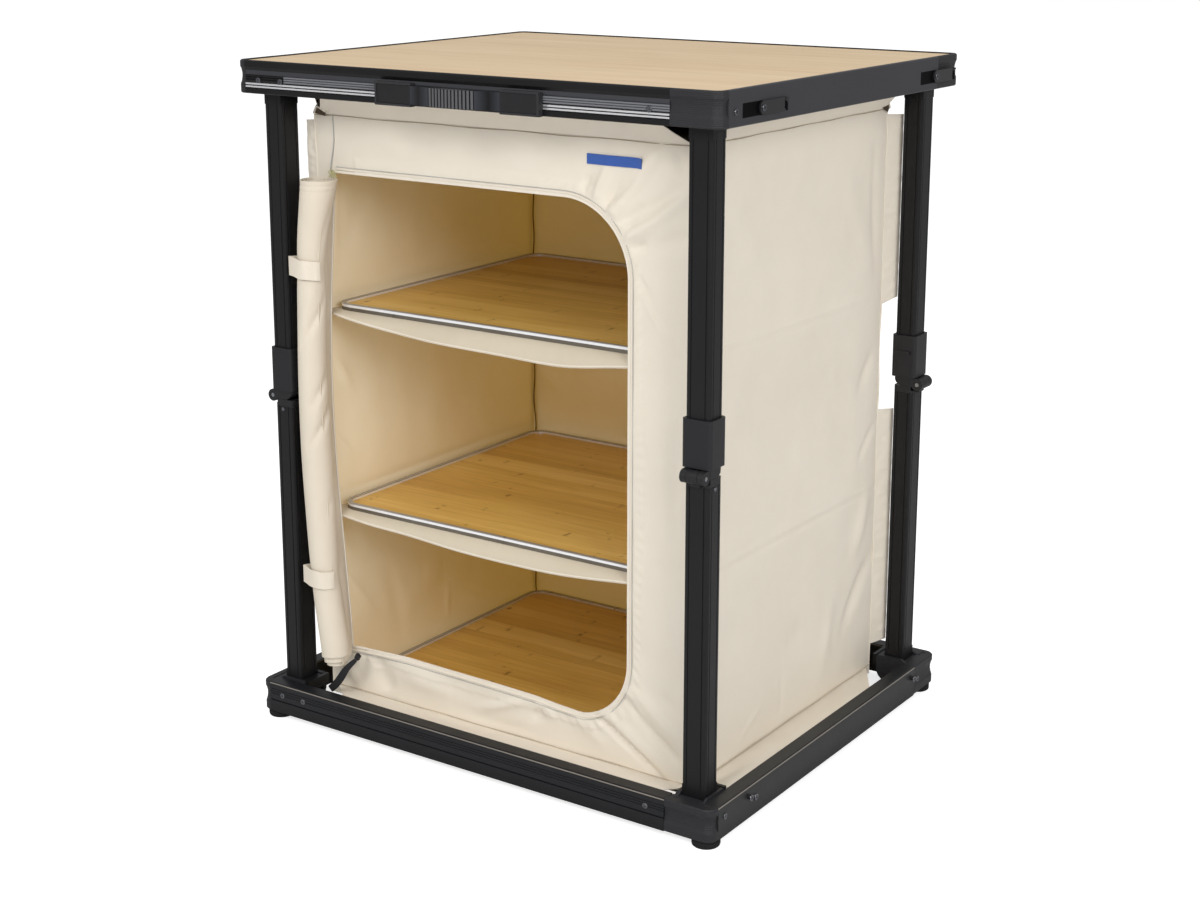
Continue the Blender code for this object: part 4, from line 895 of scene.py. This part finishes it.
# %% Seams
corners = {"front_right": (1, -1), "rear_right": (1, 1), "rear_left": (-1, 1), "front_left": (-1, -1)}
seams = []
for name, (sx, sy) in corners.items():
    x, y = sx * SIDE_X, FRONT_Y if sy < 0 else REAR_Y
    line = [(x + 0.0005 * math.sin(z * 60 + x * 9), y + 0.0005 * math.cos(z * 47), z)
            for z in steps(LOW_Z, HIGH_Z, 90)]
    inner = [(px - sx * 0.0040 + 0.0008 * math.sin(pz * 95), py - sy * 0.0040, pz) for px, py, pz in line]
    cord = [(px - sx * 0.0012, py - sy * 0.0022, pz) for px, py, pz in inner]
    inwards = (sx, -sy, 0)
    seams.append(tape(f"seam_{name}", line, 0.0018, 0.0018, cream, (x, y, 0)))
    # The inner seam's tape and its dark cord are painted shade in the corner.
    seams.append(tape(f"inner_seam_{name}", inner, 0.0050, 0.0013, shaded_shelf_canvas, inwards))
    seams.append(tape(f"inner_seam_shadow_{name}", cord, 0.0028, 0.0014, seam_fold_shade, inwards, sides=6))
rim = [(-SIDE_X, FRONT_Y), (SIDE_X, FRONT_Y), (SIDE_X, REAR_Y), (-SIDE_X, REAR_Y)]
round_rim = [(ax + (bx - ax) * i / 60, ay + (by - ay) * i / 60)
             for (ax, ay), (bx, by) in zip(rim, rim[1:] + rim[:1]) for i in range(60)]
# The thin lines where the flaps are sewn on are painted shade, darker at the top.
for label, level, below, thread in (
        ("top", HIGH_Z, -0.0036, painted_seam_shade), ("bottom", LOW_Z, 0.0112, faint_seam_shade_paint)):
    line = [(x, y, level + 0.0005 * math.sin(x * 50) + 0.0004 * math.sin(y * 63)) for x, y in round_rim]
    sewn = [(x * 1.0020, (y - MIDDLE_Y) * 1.0022 + MIDDLE_Y, z + below) for x, y, z in line]
    seams.append(tape(f"{label}_seam", line, 0.0024, 0.0014, cream, (0, 0, 1), closed=True))
    name = f"{label}_flap_stitches"
    seams.append(tape(name, sewn, 0.0008, 0.0009, thread, (0, 0, 1), sides=6, closed=True))
print("seams", len(seams))

# %% [markdown]
# ### Shelf cloths
# The two upper boards lie on cloths that are sewn to the walls, and the lower one on the floor of the
# cabinet. In front of the board, each upper cloth hangs down in a slack curve and ends in a narrow rolled
# hem. The curve isn't even: cloth that carries a board sags most where it's sewn least tightly.

# %% Shelf cloths
BOARD_FRONT, SIDE_GAP, CLOTH_BELOW = -0.1935, 0.0032, 0.0054
hem_heights = {
    "shelf_upper": metres(
        (-266, 517.5), (-240, 512), (-186, 505.4), (-108, 498.4), (-34, 497), (38, 495), (79, 494.2),
        (105, 495.8), (138, 501), (174.5, 505.5), (266, 515),
    ),
    "shelf_middle": metres(
        (-266, 262.5), (-239, 260), (-222.5, 257.2), (-154, 254.5), (-77, 249.7), (-3, 247.3), (69, 248),
        (138, 253), (174.7, 257.5), (266, 263.5),
    ),
}


def eased(x, xs, values):
    """The value at x on a smooth line through the stops."""
    return float(np.mean(np.interp([x + 0.012 * k for k in (-2, -1, 0, 1, 2)], xs, values)))


def shelf_cloth(name):
    """A cloth under a board, from the rear wall forwards, then down in front of the board's rim."""
    top, xs = SHELF_LEVELS[name] - CLOTH_BELOW, steps(SIDE_GAP - SIDE_X, SIDE_X - SIDE_GAP, 140)
    rows = [[(x, y, top) for x in xs] for y in steps(REAR_Y - SIDE_GAP, BOARD_FRONT, 14)]
    for share in steps(0.1, 1, 9):
        row = []
        for x in xs:
            drop = top - eased(x, *zip(*hem_heights[name]))
            hidden = min(1.0, max(0.0, (x - 0.179) / 0.012, (-0.250 - x) / 0.006))
            out = (0.0122 - 0.0052 * hidden) * math.sin(share * math.pi / 2) ** 0.8
            wave = 0.00056 * math.sin(x * 43 + 1) * share
            row.append((x, BOARD_FRONT - out + wave, top - drop * share ** 1.25))
        rows.append(row)
    hem = [(x, y - 0.0001, z + 0.0008) for x, y, z in rows[-1]]
    cloth = thicken(from_rows(f"{name}_cloth", rows, shaded_shelf_canvas), offset=-1.0)
    return cloth, tape(f"{name}_hem", hem, 0.0014, 0.0036, trim, (0, -0.25, 1))


shelf_pieces = {body: shelf_cloth(body) for body in SHELF_LEVELS}

# %% Floor and roof
floor_rows = [[(x, y, FLOOR_LEVEL - 0.0049) for x in steps(0.001 - SIDE_X, SIDE_X - 0.001, 40)]
              for y in steps(REAR_Y - 0.001, FRONT_Y + 0.001, 24)]
roof_rows = [[(x, y, HIGH_Z - 0.0016) for x, y, _ in row] for row in floor_rows[::-1]]
cabinet_floor = thicken(from_rows("cabinet_floor", floor_rows, tan), offset=-1.0)
# The roof is cream cloth in a dark painted shade.
cabinet_roof = thicken(from_rows("cabinet_roof", roof_rows, shaded_roof_canvas), offset=-1.0)
print("shelf cloths", len(shelf_pieces), "with floor and roof")

# %% [markdown]
# ### The rolled door
# The door is rolled from its free edge towards its hinge and held by two straps, so a cut across it is a
# spiral. The roll stands a little off the wall, slimmest below the upper strap where the cloth folds in,
# and its layers end a few millimetres apart at the bottom. Long slanting dents show where it was pressed.

# %% The roll's line
ROLL_LOW, ROLL_HIGH, ROLL_FACE = 0.0775, 0.6815, -0.2547
STRAP_AT, HEM_GROOVES = (0.1915, 0.5760), (0.6691, 0.6753)
INNER_TURNS, OUTER_TURNS = 3.2, 1.3
roll_heights, roll_middles, roll_radii = metres(
    (78, 180, 250, 340, 410, 450, 600, 640, 682),
    (-235, -248.5, -253, -258, -258.8, -259, -254, -249, -242.5),
    (18, 18, 18.5, 19.5, 19, 17.5, 17.8, 20, 23.2))
# Each dent goes from one face angle and height to another. The angle is nought at the front, and grows
# to the right. Then come its width and its depth, as a share of the radius
roll_dents = [
    (1.75, 0.537, 0.05, 0.486, 0.17, -0.15), (0.9, 0.552, -0.35, 0.5, 0.22, 0.06),
    (2.0, 0.446, 0.5, 0.408, 0.16, -0.14), (2.3, 0.412, 0.2, 0.356, 0.15, -0.15),
    (1.5, 0.425, 0.6, 0.39, 0.2, 0.07), (0.2, 0.352, -0.6, 0.33, 0.2, -0.05),
    (1.9, 0.3, 0.9, 0.262, 0.22, -0.05), (0.3, 0.165, 1.4, 0.135, 0.22, -0.05),
    (-0.3, 0.64, 0.8, 0.61, 0.24, -0.04), (1.8, 0.65, 1.3, 0.6, 0.2, -0.05),
]


def roll_at(z):
    """The roll's middle and its radius at a height."""
    return eased(z, roll_heights, roll_middles), eased(z, roll_heights, roll_radii)


# %% The door's roll
TURNS = INNER_TURNS + OUTER_TURNS
turned = [INNER_TURNS * i / 70 for i in range(70)] + [INNER_TURNS + OUTER_TURNS * i / 76 for i in range(77)]
way = np.array(turned) / TURNS
angle = math.pi * 0.30 - (TURNS - np.array(turned)) * 2 * math.pi
face = np.arctan2(np.sin(angle + math.pi / 2), np.cos(angle + math.pi / 2))
near_hem = [groove + beside for groove in HEM_GROOVES for beside in (-0.0008, 0, 0.0008)]
rows = []
for level in sorted(steps(ROLL_LOW, ROLL_HIGH, 165) + near_hem):
    middle, radius = roll_at(level)
    share = (level - ROLL_LOW) / (ROLL_HIGH - ROLL_LOW)
    grow = 0.0035 / radius + (1 - 0.0035 / radius) * way ** 0.92
    for strap_z in STRAP_AT:
        grow = grow * (1 - 0.05 * math.exp(-(((level - strap_z) / 0.017) ** 2)))
    for groove in HEM_GROOVES:
        grow = grow - 0.018 * math.exp(-(((level - groove) / 0.0009) ** 2)) * (way > 0.7)
    dent = np.zeros_like(grow)
    for a0, z0, a1, z1, width, deep in roll_dents:
        da, dz, ua, uz = a1 - a0, (z1 - z0) * 22, face - a0, (level - z0) * 22
        part = np.clip((ua * da + uz * dz) / (da * da + dz * dz), 0, 1)
        away = np.hypot(ua - da * part, uz - dz * part)
        dent += deep * np.exp(-((away / width) ** 2)) * np.sin(math.pi * np.clip(part, 0.12, 0.92)) ** 0.5
    grow = radius * grow * (1 + dent * np.clip((way - 0.35) / 0.65, 0, 1))
    rise = np.clip(way - 0.55, 0, 1) * 0.034 * (1 - share) ** 10
    z = level + rise + 0.0016 * np.cos(face - 0.6) * (1 - share) ** 8
    rows.append(np.stack([middle + grow * np.cos(angle), ROLL_FACE + radius + grow * np.sin(angle), z], 1))
door_roll = thicken(from_rows("rolled_door", rows, door_canvas), 0.0010)
print("rolled door", len(door_roll.data.polygons), "faces")

# %% [markdown]
# ### Straps, hinge, pull and label
# Two short straps of cream tape go round the roll and back to the wall, each folded flat at its left end.
# Between the opening's left edge and the roll runs a narrow band of the door's own cloth. The zip's slider
# hangs at the bottom of the roll with a pull of black webbing. A small blue label is sewn on at the top
# right, left plain.

# %% Straps
def curve(line):
    """A smooth line through the points, with three new points between each two."""
    made, last = [], len(line) - 1
    for i in range(last):
        before, a, b, after = (line[max(0, min(last, k))] for k in (i - 1, i, i + 1, i + 2))
        for t in (0, 0.25, 0.5, 0.75):
            made.append(tuple(
                0.5 * (2 * q + (r - p) * t + (2 * p - 5 * q + 4 * r - s) * t * t
                       + (3 * q - p - 3 * r + s) * t ** 3)
                for p, q, r, s in zip(before, a, b, after)))
    return made + [line[-1]]


def strap(name, z, tall, slope):
    """A flat loop of cloth round the roll. slope is how much lower its right end lies."""
    middle, radius = roll_at(z)
    back, out, tip = ROLL_FACE + radius, radius + 0.0014, max(middle - radius - 0.0055, -0.2788)
    line = curve([
        (middle + out * 0.985, back - radius * 0.30), (middle + out * 0.92, back - radius * 0.50),
        (middle + out * 0.80, ROLL_FACE + radius * 0.34), (middle + out * 0.50, ROLL_FACE + 0.0002),
        (middle + out * 0.10, ROLL_FACE - 0.0016), (middle - out * 0.45, ROLL_FACE + 0.0004),
        (tip, back - 0.0120), (tip + 0.0006, back - 0.0095), (middle - out * 0.98, back - 0.003),
        (middle - out * 0.72, back + 0.011), (max(middle - out * 0.3, -0.2655), FRONT_Y - 0.0012)])
    rows = [[(x, min(y, FRONT_Y - 0.0010),
              z + tall * rise - slope * (x - middle) / radius + 0.0004 * math.sin(x * 300)) for x, y in line]
            for rise in steps(-0.5, 0.5, 8)]
    return thicken(from_rows(name, rows, trim), 0.0014)


straps = [strap("lower_door_strap", STRAP_AT[0], 0.0215, 0.0008),
          strap("upper_door_strap", STRAP_AT[1], 0.0225, 0.0014)]
print("straps", len(straps))

# %% The door's hinge side
rows = []
for z in steps(ROLL_LOW + 0.006, ROLL_HIGH - 0.004, 80):
    middle, radius = roll_at(z)
    start = Vector((OPEN_X[0] + bowed(z) - 0.0006, FRONT_Y - 0.0020))
    end = Vector((middle + radius * 0.93, ROLL_FACE + radius * 0.72))
    row = []
    for share in steps(0, 1, 10):
        x, y = start.lerp(end, share)
        crease = noise.noise(Vector((share * 3.0, z * 26, 4.0)))
        row.append((x + math.sin(math.pi * share) * (0.0012 + 0.0016 * crease), y, z))
    rows.append(row)
door_hinge = thicken(from_rows("door_hinge_cloth", rows, door_canvas))
print("hinge cloth", len(door_hinge.data.polygons), "faces")

# %% The zip pull
SLIDER_AT = (-0.2052, -0.2305, 0.0920)
pull_line = metres(
    (-206.14, -233, 88.745), (-209.08, -237.5, 84.56), (-213.7, -240, 79.445), (-217.9, -241.5, 73.4),
    (-222.1, -242.5, 65.96), (-227.14, -243, 58.985), (-233.44, -243, 52.01), (-241, -242.5, 45.5))
rows = []
for i, here in enumerate(pull_line):
    before, after = Vector(pull_line[max(0, i - 1)]), Vector(pull_line[min(len(pull_line) - 1, i + 1)])
    side = (after - before).normalized().cross(Vector((0.25, -1, 0.1))).normalized()
    half = 0.0026 + 0.0022 * min(1.0, i / 4)
    rows.append([Vector(here) + side * half * k / 3 for k in range(-3, 4)])
zip_pull = from_rows("zip_pull_webbing", rows, black_web)
thicken(modify(zip_pull, "SUBSURF", levels=2, render_levels=2), 0.0017)
slider_black = black_metal("slider_black", "Z", (30, 30, 32))
slider = block("zip_slider", (0.0070, 0.0045, 0.0080), slider_black, 0.0012)
slider.data.transform(Matrix.Translation(SLIDER_AT) @ Matrix.Rotation(0.5, 4, "Y"))
print("zip pull", len(zip_pull.data.polygons), "faces")

# %% [markdown]
# The label lies on the wall's own folds: a ray from the front finds the cloth behind each point along it. At
# two upper corners a flap's end is folded over, with a dark sheet of painted shade in the hollow under a thin
# lip, and loose threads hang where the seam above the zip ends.

# %% The label
LABEL_AT, LABEL_SIZE = (0.1242, 0.7257), (0.0733, 0.0113)
label_line = []
for x in steps(LABEL_AT[0], LABEL_AT[0] + LABEL_SIZE[0], 40):
    _, spot, _, _ = front_wall.ray_cast(Vector((x, -1.0, 0.7313)), Vector((0, 1, 0)))
    label_line.append((x, spot.y - 0.0011))
rows = [[(x, y, z) for x, y in label_line] for z in steps(LABEL_AT[1], LABEL_AT[1] + LABEL_SIZE[1], 6)]
label = thicken(from_rows("sewn_label", rows, blue_tape), 0.0008)
print("label", len(label.data.polygons), "faces")


# %% Corner folds and thread ends
def joined(name, pieces):
    """Several pieces made one, under one name."""
    make_active(*pieces)
    bpy.ops.object.join()
    pieces[0].name = pieces[0].data.name = name
    return pieces[0]


def corner_fold(name, *outline):
    outline = [Vector(p) for p in metres(*outline)]
    middle = sum(outline, Vector()) / len(outline)
    a, b, c, d = (p.lerp(middle, 0.12) for p in outline)
    rows = [[a.lerp(d, k).lerp(b.lerp(c, k), m) for k in steps(0, 1, 6)] for m in steps(0, 1, 5)]
    # The mouth is a dark sheet: painted shade in the fold.
    mouth = thicken(from_rows(f"{name}_mouth", rows, painted_hollow_shade), 0.0006)
    return [mouth, tape(f"{name}_lip", outline[:3], 0.0026, 0.0022, cream)]


left_fold = corner_fold(
    "front_fold", (-266.2, -210.5, 756), (-254, -219, 766), (-243, -215, 759), (-247, -211, 753))
right_fold = corner_fold(
    "rear_fold", (270, 196, 760), (276, 208, 765.5), (270, 223, 756), (269, 221, 750))
threads = []
for k in range(9):
    x, z = -0.2405 + 0.0042 * math.sin(k * 2.4), 0.6845 + 0.0036 * math.cos(k * 1.7)
    spot = Vector((x, FRONT_Y - 0.0016, z))
    loop = [spot + Vector((0.0026 * math.cos(t), -0.0008 * math.sin(t * 2 + k), 0.0021 * math.sin(t)))
            for t in steps(k, k + 1.6 * math.pi, 12)]
    threads.append(tape(f"thread_{k}", loop, 0.0007, 0.0007, yellow_thread, sides=6))
thread_ends = joined("thread_ends", threads)
print("folds", len(left_fold + right_fold), "and threads", len(threads))

# %% [markdown]
# ## Screws, bolts and rivets
# Pan-head screws hold the rails to the corners' tenons. One is modelled well, a short cylinder with a domed
# edge and a cross cut into its top, and copied to each place.

# %% One screw head
screw_paint = Paint("black_screw", (90, 91, 95), 0.24, 0.9)
haze = screw_paint.cloud(500.0, detail=3.0)
screw_paint.coat(screw_paint.mix(haze, (64, 65, 69), (132, 133, 138)), haze * 0.16 + 0.16)


def screw_head(radius=0.0035, proud=0.0012, cross=True):
    bpy.ops.mesh.primitive_cylinder_add(vertices=28, radius=radius, depth=proud, location=(0, 0, proud / 2))
    head = bpy.context.active_object
    bpy.ops.object.transform_apply(location=True, rotation=True, scale=True)
    modify(head, "BEVEL", width=proud * 0.55, segments=3)
    for spin in (0, math.pi / 2) if cross else ():
        bpy.ops.mesh.primitive_cube_add(size=1)
        cutter = bpy.context.active_object
        cutter.data.transform(Matrix.Rotation(spin, 4, "Z") @ Matrix.Translation((0, 0, proud + 0.0003))
                              @ Matrix.Diagonal((radius * 1.15, radius * 0.28, 0.0018, 1)))
        modify(head, "BOOLEAN", object=cutter, operation="DIFFERENCE", solver="EXACT")
        bpy.data.objects.remove(cutter)
    wear(head, screw_paint.material)
    return smooth(head, 35)


def facing(point, normal, spin=0.4):
    """Where a screw head goes: its foot at the point, its top looking along the normal."""
    turned = Vector(normal).to_track_quat("Z", "Y").to_matrix().to_4x4()
    return Matrix.Translation(point) @ turned @ Matrix.Rotation(spin, 4, "Z")


# %% Screws in the rails and rivets at the knees
HALF_W, HALF_D, SCREW_SUNK, RIVET_IN, RIVET_Z = 0.330, 0.280, 0.0008, 0.022, 0.3985
screws = {}
for part, z in (("top", 0.7972), ("base", 0.0332)):
    places = []
    for sign in (-1, 1):
        y = MIDDLE_Y + sign * (HALF_D - SCREW_SUNK)
        for along, spin in ((0.2954, 0.3), (0.2612, 1.1), (-0.2444, 0.7)):
            places.append(facing((sign * along, y, z), (0, sign, 0), spin))
        places.append(facing((sign * HALF_W, MIDDLE_Y - sign * 0.252, z), (sign, 0, 0), 0.5))
    screws[part] = scatter(f"{part}_screws", screw_head(), places)
rivets = {}
for key, x, y, normal in (
        ("fr", HALF_W - RIVET_IN, -0.2375, (1, 0, 0)), ("rl", RIVET_IN - HALF_W, 0.254, (-1, 0, 0)),
        ("rr", 0.2960, MIDDLE_Y + HALF_D - RIVET_IN, (0, 1, 0)),
        ("fl", -0.2960, MIDDLE_Y - HALF_D + RIVET_IN, (0, -1, 0))):
    spot = facing((x, y, RIVET_Z), normal)
    rivets[key] = scatter(f"knee_rivet_{key}", screw_head(0.0024, 0.0008, False), [spot])
print("screws in", list(screws), "and rivets", len(rivets))

# %% [markdown]
# ## Catches
# Each catch turns on a screw, beside a shallow pocket in the rail. The pocket's shade is painted on a thin
# black plate on the rail's face, and a slot's shade on a thin black bar. On the base rail, each stud has a
# second small stop beside it.

# %% Catch pockets, screws and marks
CATCH_Z, STUD_Z, POCKET = 0.7971, 0.0350, (0.00028, 0.040, 0.0150)
# Nearly black and without shine: painted shade for the pocket and the slot.
painted_recess_shade = black_plastic("painted_recess_shade", (5, 5, 6), 0.5, shine=0.04)
catch_pins = {
    "front_right": (HALF_W, -0.19225, 1), "rear_right": (HALF_W, 0.21875, 1),
    "rear_left": (-HALF_W, 0.20875, -1), "front_left": (-HALF_W, -0.20225, -1),
}
pockets, stud_places, catch_marks = [], [], {}
for name, (x, y, sign) in catch_pins.items():
    def small(part, size, material, bevel, out, along, z):
        piece = block(part, size, material, bevel)
        piece.data.transform(Matrix.Translation((x + sign * out, y + sign * along, z)))
        return piece

    pockets.append(small("pocket", POCKET, painted_recess_shade, 0.00012, 0.00008, -0.0185, CATCH_Z))
    spot = facing((x + sign * 0.0027, y, CATCH_Z), (sign, 0, 0))
    head = scatter("catch_screw", screw_head(0.0036, 0.0010), [spot])
    catch_marks[name] = joined(f"catch_marks_{name}", [
        head, small("slot_mark", (0.0006, 0.0012, 0.0090), painted_recess_shade, 0.0002, 0.0028, 0.0440, CATCH_Z),
        small("nib", (0.0016, 0.0060, 0.0022), moulded, 0.0006, 0.0030, 0.0480, 0.8030)])
    for out, along in ((0.0029, 0.0), (0.0, 0.0155)):
        stud_places.append(facing((x + sign * out, y + sign * along, STUD_Z - along * 0.35), (sign, 0, 0)))
catch_pockets = joined("catch_pockets", pockets)
stud_heads = scatter("base_studs", screw_head(0.0038, 0.0014), stud_places)
print("pockets and marks on", len(catch_marks), "catches")

# %% [markdown]
# ## What moves with what
# Everything rides on a body of the imported model. The cloth can't follow four folding legs, so it rides on
# the base. Shelf cloths ride on their boards.

# %% Ride
soft = [front_wall, *walls, *flaps, *seams, binding, zip_tape, zip_teeth, front_seam, cabinet_floor,
        cabinet_roof, door_roll, *straps, door_hinge, zip_pull, slider, label, thread_ends,
        *left_fold, *right_fold]
for piece in soft:
    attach(piece, "base")
    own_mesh(piece)
for body, pieces in shelf_pieces.items():
    for piece in pieces:
        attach(piece, body)
for part, piece in screws.items():
    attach(piece, part)
for key, piece in rivets.items():
    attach(piece, f"lower_{key}")
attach(catch_pockets, "top")
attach(stud_heads, "base")
for name, piece in catch_marks.items():
    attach(piece, f"catch_{name}")
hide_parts("fabric_cabinet")
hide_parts("door_roll")
print("soft pieces", len(soft))

for piece in flaps:
    x, y, z = (round(v, 3) for v in piece.dimensions)
    long = max(x, y, z)
    short = 0.0240 if "rear_right" in piece.name else 0.0485 if long < 0.6 and min(x, y) > 0.02 else 0.0142
print("sheets", 8 + len(shelf_pieces) + len(flaps))

# %% [markdown]
# ## Light and floor
# The photo was taken in a white room with large soft lights. The key lamp stands in front and high, a fill
# lamp at the right, and a weak one above. Lamps as wide as a window make soft edges, and the white world
# fills the shadows. The floor is as white as the room for the camera, and still keeps the shadow.

# %% Lights
def lamp(name, place, target, size, watts):
    light = bpy.data.lights.new(name, "AREA")
    light.shape, light.size, light.energy = "DISK", size, watts
    thing = bpy.data.objects.new(name, light)
    thing.location = place
    thing.rotation_euler = (Vector(target) - Vector(place)).to_track_quat("-Z", "Y").to_euler()
    bpy.context.scene.collection.objects.link(thing)


lamp("key", (0.35, -3.2, 2.5), (0, 0, 0.4), 1.5, 56)
lamp("fill", (2.9, -1.5, 1.9), (0, 0, 0.4), 1.8, 48)
lamp("top", (0.0, -0.2, 3.2), (0, 0, 0.8), 1.8, 17)
SEEN_WORLD, LIGHTING_WORLD = 1.0, 0.52
world = bpy.context.scene.world or bpy.data.worlds.new("world")
bpy.context.scene.world = world
world.use_nodes = True
sky = world.node_tree
sky.nodes.clear()
kinds = ("ShaderNodeLightPath", "ShaderNodeMixShader", "ShaderNodeOutputWorld")
ways, both, out = (sky.nodes.new(kind) for kind in kinds)
sky.links.new(ways.outputs["Is Camera Ray"], both.inputs[0])
for socket, strength in ((1, LIGHTING_WORLD), (2, SEEN_WORLD)):
    white = sky.nodes.new("ShaderNodeBackground")
    white.inputs[0].default_value, white.inputs[1].default_value = (1, 1, 1, 1), strength
    sky.links.new(white.outputs[0], both.inputs[socket])
sky.links.new(both.outputs[0], out.inputs[0])
print("lamps and world")

# %% Floor
bpy.ops.mesh.primitive_plane_add(size=30, location=(0, 0, 0))
floor = bpy.context.active_object
floor.name = "floor"
ground = Paint("white_floor", (222, 222, 222), 0.9, Specular_IOR_Level=0.0)
plain = Wire(ground, ground.shader)
glow = ground.box("ShaderNodeEmission", None, {"Color": (1, 1, 1, 1), "Strength": 0.72})
added = ground.box("ShaderNodeAddShader", None, {0: plain, 1: glow})
seen = ground.box("ShaderNodeLightPath", output="Is Camera Ray")
shown = ground.box("ShaderNodeMixShader", None, {0: seen, 1: plain, 2: added})
ground.join(shown, ground.tree.nodes["Material Output"].inputs["Surface"])
wear(floor, ground.material)
floor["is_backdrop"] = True
print("floor of", floor.dimensions.x, "metres")

# %% [markdown]
# ## The bounds
# The box round every piece that renders, the floor left out, is measured at the end.

# %% Finish
low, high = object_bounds()
